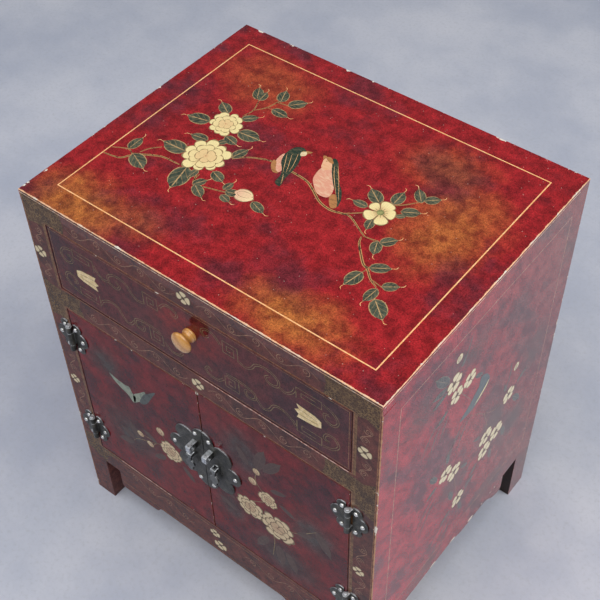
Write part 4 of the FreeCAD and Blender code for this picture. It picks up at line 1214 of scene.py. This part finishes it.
SCROLLS = [
    (13, 534.5, 160, 534.5, 5, 7.5), (-15, 534.5, -166, 534.5, 5, 7.5), (15, 405.5, 158, 405.5, 5, 8),
    (-13, 405.5, -166, 405.5, 5, 8), (-40, 91, -158, 97, 4, 8), (40, 91, 158, 97, 4, 8),
]
STILE_SPANS = [(481, 511), (457, 427), (260, 306), (236, 190)]
SCROLLS += [(side * 214, z0, side * 214, z1, 2, 6.5) for side in (-1, 1) for z0, z1 in STILE_SPANS]
FRONT_FLOWERS = [
    (-3.3, 535.5, 9), (-218.7, 468, 9), (212.5, 469, 9), (1.5, 406, 9), (-218, 248, 8.5), (211, 247, 8.5),
    (-5.4, 101.4, 8.5), (2, 79, 10),
]
waves, rolls = zip(*[scroll(*size) for size in SCROLLS])
curls = marks([row for one in rolls for row in one])
strokes("frame_vines", FRAME, rose_line, waves, 0.8, 0.035, taper=0.3, step=1.6)
lay("frame_curls", FRAME, grow(curls, curl_brush, {"Turns": 1.5, "Width": 0.75, "Paint": rose_line}))
front_petals = [row for x, z, radius in FRONT_FLOWERS for row in open_flower(x, z, radius, 4, 0.0)]
dabs("frame_flowers", FRAME, small_petal, petal_brush, front_petals, Rows=7)
print("scrolls:", len(SCROLLS), "flowers:", len(FRONT_FLOWERS))

# %% Drawer darts
DART = [
    (-162.5, 474), (-155, 477.5), (-133, 480), (-136, 474), (-130.5, 469.8), (-135.5, 465.5), (-133, 459.3),
    (-155, 461.5), (-162.5, 464.5),
]
FOLDS = [[(-136, 474), (-148, 472.5), (-158, 471)], [(-135.5, 465.5), (-148, 466), (-158, 467)]]


def mirrored(lines):
    """The same lines on both halves of the front."""
    return lines + [[(-x, z) for x, z in reversed(line)] for line in lines]


dart_cream = line_paint("dart_cream", (0.92, 0.73, 0.43), (0.72, 0.53, 0.25), FRONT_COAT)
fill("drawer_darts", DRAWER, dart_cream, mirrored([DART]), 0.06, curvy=False)
strokes("drawer_dart_folds", DRAWER, olive_line, mirrored(FOLDS), 0.7, 0.08, taper=0.3, step=1.6)
print("darts:", 2)

# %% Drawer ribbons and frets
def doubled(line, gap):
    """Two lines that run side by side, as a painted ribbon does."""
    rails = ([], [])
    for k, (x, z) in enumerate(line):
        (ax, az), (bx, bz) = line[max(k - 1, 0)], line[min(k + 1, len(line) - 1)]
        reach = math.hypot(bx - ax, bz - az)
        for rail, hand in zip(rails, (-0.5, 0.5)):
            rail.append((x - hand * gap * (bz - az) / reach, z + hand * gap * (bx - ax) / reach))
    return list(rails)


RIBBONS = [
    [(63, 489), (72, 487), (79, 492), (84, 500), (93, 504), (104, 503), (112, 496), (110, 487), (101, 485),
     (96, 491), (101, 496)],
    [(112, 489), (120, 486), (128, 492), (132, 501)],
    [(164, 503), (176, 499), (182, 489), (177, 480), (168, 482), (166, 490), (172, 492)],
    [(44, 456), (58, 457), (70, 456), (80, 452), (80, 443), (71, 441), (68, 448), (73, 451)],
    [(82, 448), (90, 438), (98, 441), (105, 453), (116, 455), (128, 448), (132, 441)],
    [(164, 438), (176, 442), (183, 452), (178, 461), (169, 460), (166, 452), (172, 450)],
    [(40, 498), (32, 507), (22, 508), (16, 502), (20, 496), (25, 500)],
    [(40, 445), (32, 437), (22, 437), (16, 443), (20, 449), (25, 446)],
]
FRETS = [
    [(62, 488), (62, 507), (43, 507), (43, 490), (57, 490), (57, 502), (48, 502), (48, 495), (53, 495)],
    [(60, 455), (60, 436), (42, 436), (42, 452), (55, 452), (55, 441), (47, 441), (47, 447), (51, 447)],
    [(133, 489), (133, 505), (163, 505), (163, 494), (139, 494), (139, 500), (156, 500)],
    [(133, 453), (133, 437), (163, 437), (163, 449), (139, 449), (139, 442), (156, 442)],
]
ribbons = [rail for line in mirrored(RIBBONS) for rail in doubled(line, 2.6)]
strokes("drawer_ribbons", DRAWER, olive_line, ribbons, 0.7, 0.07, taper=0.2, step=1.4)
rules("drawer_frets", DRAWER, olive_line, mirrored(FRETS), 0.9, 0.07)
rules("drawer_line", DRAWER, bronze_line, [box_line(194.6, 426.6, 516.4)], 0.8, 0.05, closed=True)
print("ribbons:", len(ribbons), "frets:", 2 * len(FRETS))

# %% Left door
LEFT_LEAVES = [
    (-84, 224, -108, 238), (-72, 208, -94, 190), (-122, 200, -150, 212), (-128, 192, -156, 178),
    (-118, 208, -128, 236), (-52, 250, -42, 276), (-44, 214, -26, 192),
]
LEFT_WING = [
    (-146.4, 313), (-134, 310), (-122, 309), (-115, 310), (-112, 301), (-107, 297), (-110, 285), (-114, 284),
    (-120, 292), (-131, 297.6), (-140.6, 304.5),
]
RIGHT_WING = [(-110.6, 299), (-100, 310.6), (-89, 321), (-90.8, 308), (-98, 297), (-107, 288), (-111, 285)]
TAIL = [(-91.8, 314), (-83, 323), (-71, 334), (-79, 318), (-88, 301), (-97, 292), (-101, 295)]
LEFT_STEMS = [
    [(-61, 228), (-84, 226), (-107, 223)], [(-84, 226), (-92, 215)], [(-66, 240), (-73, 252)],
    [(-84, 224), (-118, 206), (-128, 194)],
]
left_petals = peony(-61.7, 227.6, 18.8)
left_buds = bud(-74.7, 250, -74.7, 266) + bud(-106, 222, -119, 221) + bud(-91, 214, -104, 212)
dabs("left_door_flowers", LEFT_DOOR, old_petal, petal_brush, left_petals)
dabs("left_door_buds", LEFT_DOOR, old_petal, leaf_brush, left_buds)
left_blades = [blade(*leaf, 0.34, 0.03) for leaf in LEFT_LEAVES]
dabs("left_door_leaves_painted", LEFT_DOOR, dusk_leaf, leaf_brush, left_blades)
fill("left_door_bird", LEFT_DOOR, grey_feather, [LEFT_WING, RIGHT_WING], 0.05)
fill("left_door_bird_tail", LEFT_DOOR, slate_feather, [TAIL], 0.06)
strokes("left_door_stems", LEFT_DOOR, olive_line, LEFT_STEMS, 1.1, 0.02, taper=0.3)
print("left door petals:", len(left_petals))

# %% Right door
RIGHT_LEAVES = [
    (74, 316, 87, 361), (84, 320, 110, 356), (62, 312, 46, 340), (104, 274, 128, 264), (155, 270, 176, 230),
    (39, 196, 10, 208), (100, 182, 104, 138), (112, 180, 126, 142), (38, 222, 18, 230), (128, 238, 152, 254),
    (92, 290, 116, 302), (84, 184, 66, 150),
]
RIGHT_STEMS = [
    [(88, 267), (72, 290), (74, 308)], [(60, 240), (80, 256), (88, 267)], [(105, 228), (128, 238), (155, 268)],
    [(92, 200), (94, 186), (90, 150)], [(74, 308), (76, 322)],
]
right_petals = peony(60, 226, 21) + peony(99.4, 220, 26.6, 0.3) + peony(88, 267.6, 14.3, 0.2)
right_buds = bud(73.8, 304, 73.8, 317) + bud(67, 279, 67, 294)
dabs("right_door_flowers", RIGHT_DOOR, old_petal, petal_brush, right_petals)
dabs("right_door_buds", RIGHT_DOOR, old_petal, leaf_brush, right_buds)
right_blades = [blade(*leaf, 0.3, 0.03) for leaf in RIGHT_LEAVES]
dabs("right_door_leaves_painted", RIGHT_DOOR, dusk_leaf, leaf_brush, right_blades)
strokes("right_door_stems", RIGHT_DOOR, olive_line, RIGHT_STEMS, 1.1, 0.02, taper=0.3)
print("right door petals:", len(right_petals))

# %% [markdown]
# ## The painted sides
# A thin line frames each side, and a loose spray of plum blossom with slender leaves climbs from the foot to
# the drawer's height, with a small grey bird in its middle. The left side isn't seen from the front, and
# gets the same spray in mirror image, as such cabinets were painted in pairs.

# %% Side motifs
SIDE_FLOWERS = [
    (-48.5, 456.6, 14.5), (-15.8, 432, 12.7), (-39.5, 429.4, 13), (90.5, 295.7, 13.6), (47.8, 260.7, 15),
    (73.7, 241.6, 15.5), (49.6, 229.4, 15), (-40.4, 288.5, 13.6), (-19.9, 269.8, 14.5), (-0.4, 190.7, 14),
]
SIDE_LEAVES = [
    (-58, 467, -88, 501), (-60, 462, -90, 469), (-60, 455, -88, 451), (-38, 471, -28, 489),
    (-38, 307, -42, 330), (-58, 296, -76, 321), (-15, 207, -26, 235), (80, 312, 74, 330), (103, 280, 124, 253),
    (88, 235, 99, 207), (33, 276, 17, 285), (-4, 424, 14, 410), (-54, 420, -76, 410), (-56, 284, -80, 278),
    (-6, 262, 12, 248), (106, 302, 130, 312), (36, 222, 18, 208), (12, 196, 36, 204), (-14, 184, -38, 176),
    (4, 176, 12, 152), (64, 216, 70, 192),
]
SIDE_STEMS = [
    [(-99, 269), (-74, 313), (-39, 333), (0, 352), (-6, 385), (-28, 420), (-46, 452)],
    [(30, 323), (60, 300), (90, 296)], [(0, 352), (30, 323), (44, 290), (48, 262), (50, 231)],
    [(50, 262), (66, 250), (74, 242)],
    [(-39, 333), (-44, 310), (-40, 290), (-22, 271), (-12, 230), (-1, 188), (4, 140)],
    [(-48, 460), (-46, 478), (-44, 488)], [(-28, 420), (-16, 432)], [(90, 296), (96, 318), (97, 336)],
]
SIDE_GRASS = [
    [(-66, 424), (-84, 405), (-100, 378)], [(-58, 416), (-74, 392), (-84, 362)],
    [(-48, 412), (-58, 394), (-64, 370)], [(-36, 474), (-28, 490), (-22, 512)],
    [(-10, 360), (-26, 344), (-46, 318)], [(-2, 358), (-14, 336), (-24, 306)],
    [(-54, 272), (-76, 258), (-96, 232)], [(-50, 266), (-68, 246), (-86, 212)],
    [(-42, 302), (-38, 318), (-32, 338)], [(-18, 182), (-44, 164), (-70, 138)],
    [(-14, 174), (-32, 150), (-50, 118)], [(-8, 168), (-20, 142), (-34, 110)], [(38, 218), (20, 196), (6, 164)],
    [(30, 252), (12, 238), (-8, 212)], [(78, 314), (84, 338), (82, 362)],
]
SIDE_BIRD = [
    (10, 407.5), (17, 407), (26, 398), (31, 386), (27, 376), (8, 364), (-10, 363), (-25, 368), (-8, 379),
    (1, 388), (8, 395),
]
BELLY = [(30, 386), (26, 377.5), (16, 370.5), (4, 366), (14, 373.5), (24, 381)]
SIDE_FRAME = [(-144.5, 122), (165, 122), (165, 519), (-144.5, 519)]
SIDE_EDGE = [(-172, 548.6), (172, 548.6)]
side_grass = line_paint("side_grass", (0.12, 0.115, 0.1), (0.16, 0.1, 0.09), SIDE_COAT)
side_petals = [row for y, z, radius in SIDE_FLOWERS for row in open_flower(y, z, radius, 5, y * 0.1)]
side_buds = bud(-44, 485, -44, 499) + bud(97, 334, 97, 348)
side_blades = [blade(*leaf, 0.3, 0.03) for leaf in SIDE_LEAVES]
print("side flowers:", len(SIDE_FLOWERS), "leaves:", len(SIDE_LEAVES))

# %% Sides
for face in ("right", "left"):
    spot = (face, "carcass", "side_lacquer")
    dabs(face + "_side_buds", spot, side_petal, leaf_brush, side_buds)
    dabs(face + "_side_flowers", spot, side_petal, petal_brush, side_petals, Rows=7)
    dabs(face + "_side_leaves", spot, side_leaf, leaf_brush, side_blades)
    strokes(face + "_side_stems", spot, side_line, SIDE_STEMS, 1.1, 0.02, taper=0.4, step=2.5)
    strokes(face + "_side_grass", spot, side_grass, SIDE_GRASS, 3.0, 0.025, taper=0.85, step=2.5)
    fill(face + "_side_bird", spot, blue_feather, [SIDE_BIRD], 0.06)
    fill(face + "_side_bird_belly", spot, pale_feather, [BELLY], 0.09)
    rules(face + "_side_line", spot, side_rule, [SIDE_FRAME], 1.2, 0.02, closed=True)
    rules(face + "_edge_gilt", spot, edge_gilt, [SIDE_EDGE], 0.9, 0.04)
print("painted layers:", len(laid))

# %% [markdown]
# ## Cast hardware
# The hinges and the lock plate are bronze castings with soft, rounded edges that catch the light from above.
# The CAD plates have the outline and the thickness, so each is copied and a bevel rounds what is sharp. The
# bevel also marks its own faces and every face that looks up, and the bronze finish reads that mark to
# paint them lighter: rubbed wear on the edges, and a painted highlight from the light above where they look up.

# %% Recast plates, staples and pulls
PLATES = [("frame_hinge_leaves", "carcass"), ("left_door_leaves", "left_door"), ("right_door_leaves", "right_door"),
          ("left_lock_plate", "left_door"), ("right_lock_plate", "right_door")]
FITTINGS = [(side + part, side + body) for side in ("left", "right")
            for part, body in (("_lock_staple", "_door"), ("_pull_post", "_door"), ("_drop_pull", "_pull"))]


def eased(node, body, width, segments):
    """Recasts a node with its sharp edges rounded, and marks the rounded edges as rubbed and the faces that look up
    with a painted highlight.
    """
    mesh = hardened(welded(node), node, aged_bronze)
    piece = show("cast_" + node, mesh, body, "aged_bronze", node)
    mesh.materials.append(aged_bronze)
    bevel = piece.modifiers.new("soft_edges", "BEVEL")
    bevel.limit_method, bevel.angle_limit = "ANGLE", math.radians(40)
    bevel.width, bevel.segments, bevel.material = width * MM, segments, 1
    depsgraph = bpy.context.evaluated_depsgraph_get()
    piece.data = bpy.data.meshes.new_from_object(piece.evaluated_get(depsgraph), depsgraph=depsgraph)
    piece.modifiers.clear()
    rub_and_highlight = piece.data.attributes.new("rub_and_highlight", "FLOAT", "FACE")
    for face in piece.data.polygons:
        # The mark grows as a face looks up: a painted highlight from the light above. Rounded edges start from 0.2
        # for rubbed wear.
        rise = max(0.0, face.normal.z)
        rub_and_highlight.data[face.index].value = 0.2 + 0.8 * rise if face.material_index else rise ** 3
        face.material_index = 0
    piece.data.materials.pop(index=1)
    piece.data.shade_smooth()
    piece.data.set_sharp_from_angle(angle=math.radians(50))


for node, body in PLATES:
    eased(node, body, 0.7, 3)
for node, body in FITTINGS:
    eased(node, body, 0.6, 3)
eased("hinge_pins", "carcass", 0.5, 2)

# %% [markdown]
# ## Domed studs
# Small domed studs pin the plates down. They are all the same, so one dome is laid on every stud of the
# CAD model by Geometry Nodes; the centre of each is found as the middle of a loose island of the CAD mesh.

# %% Stud seats
def stud_centres(node):
    """The middle of each stud's seat in a CAD stud group, island by island in the order of the points."""
    shape = welded(node)
    seen, centres = set(), []
    for start in shape.verts:
        if start in seen:
            continue
        seen.add(start)
        island = [start]
        for vert in island:
            others = [link.other_vert(vert) for link in vert.link_edges]
            fresh = [other for other in others if other not in seen]
            seen.update(fresh)
            island += fresh
        middle = sum((vert.co for vert in island), Vector()) / len(island)
        centres.append((middle.x, max(vert.co.y for vert in island), middle.z))
    shape.free()
    return centres


STUDS = [("frame_hinge_studs", "carcass"), ("left_door_studs", "left_door"), ("right_door_studs", "right_door")]
seats = {node: stud_centres(node) for node, body in STUDS}
print("studs:", {node: len(centres) for node, centres in seats.items()})

# %% Studs
tree, given, made = brush("domed studs", {"Radius": "Float", "Height": "Float"})
ball = add(tree, "GeometryNodeMeshUVSphere", {"Segments": 16, "Rings": 10, "Radius": 1.0}).outputs["Mesh"]
x, y, z = split(tree, add(tree, "GeometryNodeInputPosition").outputs[0])
proud = times(tree, calc(tree, "MAXIMUM", z, -0.1), times(tree, given["Height"], -1.0))
place = joined(tree, times(tree, x, given["Radius"]), proud, times(tree, y, given["Radius"]))
dome = add(tree, "GeometryNodeSetPosition", {"Geometry": ball, "Position": place}).outputs[0]
domes = add(tree, "GeometryNodeInstanceOnPoints", {"Points": given["Geometry"], "Instance": dome}).outputs[0]
painted(tree, made, domes, given["Paint"])
for node, body in STUDS:
    points = bpy.data.meshes.new("seats")
    points.from_pydata(seats[node], [], [])
    mesh = grow(points, tree, {"Radius": 2.8 * MM, "Height": 2.3 * MM, "Paint": stud_bronze})
    show("domed_" + node, mesh, body, "aged_bronze", node)
    print(node, "faces:", len(mesh.polygons))

# %% [markdown]
# ## The knob
# The knob is a turned mushroom with two beads at its foot. A lathe needs only the half outline: each point
# is a radius and a distance from the drawer, and Geometry Nodes sweeps the outline round the axis.

# %% Knob
KNOB = [
    (0, 0), (7.6, 0), (8.2, 0.5), (8.4, 1.2), (8.1, 1.9), (7.7, 2.2), (8.0, 2.6), (8.1, 3.2), (7.7, 3.8),
    (7.1, 4.4), (6.6, 5.6), (6.5, 7.0), (6.9, 8.4), (8.0, 9.6), (9.9, 10.6), (11.6, 11.6), (12.4, 12.6),
    (12.5, 13.6), (12.0, 14.8), (10.6, 16.0), (8.3, 17.0), (5.4, 17.7), (2.6, 17.95), (0, 18),
]
AXIS_RADIUS, PITCH = 0.00001, 0.02
tree, given, made = brush("lathe", {"Sides": "Int"})
path = add(tree, "GeometryNodeMeshToCurve", {"Mesh": given["Geometry"]}).outputs[0]
outline = add(tree, "GeometryNodeCurveSplineType", {"Curve": path}, spline_type="CATMULL_ROM").outputs[0]
outline = add(tree, "GeometryNodeResampleCurve", {"Curve": outline, "Count": 70}, mode="COUNT").outputs[0]
circle = {"Resolution": given["Sides"], "Radius": AXIS_RADIUS}
axis = add(tree, "GeometryNodeCurvePrimitiveCircle", circle, mode="RADIUS").outputs[0]
turned = add(tree, "GeometryNodeCurveToMesh", {"Curve": axis, "Profile Curve": outline}).outputs[0]
turned = add(tree, "GeometryNodeMergeByDistance", {"Geometry": turned, "Distance": PITCH}).outputs[0]
painted(tree, made, turned, given["Paint"])
knob_mesh = grow(paths([KNOB]), tree, {"Sides": 64, "Paint": knob_wood})
knob_height = max(vert.co.z for vert in knob_mesh.vertices)
print("turned knob, mm:", round(knob_height, 2))

# %% Set the knob on the drawer
if knob_height < 1:
    knob_mesh.transform(Matrix.Scale(-1, 4, (0, 0, 1)))
knob_centre = Vector((0, front_y, sum(corner.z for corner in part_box("knob")) / 2))
knob_mesh.transform(sheet((1, 0, 0), (0, 0, 1), (0, -1, 0), knob_centre))
shape = bmesh.new()
shape.from_mesh(knob_mesh)
bmesh.ops.remove_doubles(shape, verts=shape.verts, dist=PITCH * MM)
bmesh.ops.recalc_face_normals(shape, faces=shape.faces)
shape.to_mesh(knob_mesh)
shape.free()
knob = show("turned_knob", knob_mesh, "drawer", "knob_wood", "knob")
print("knob faces:", len(knob.data.polygons))

# %% [markdown]
# ## Size
# The finished cabinet has to stay inside the CAD box. Both boxes are written down and compared: how far the
# finished cabinet stands outside the CAD box is printed.

visual_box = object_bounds()
over = [round((v - c) / MM, 3) for v, c in zip(visual_box[1], cad_box[1])]
under = [round((c - v) / MM, 3) for v, c in zip(visual_box[0], cad_box[0])]
print("outside the CAD box, mm:", over, under)
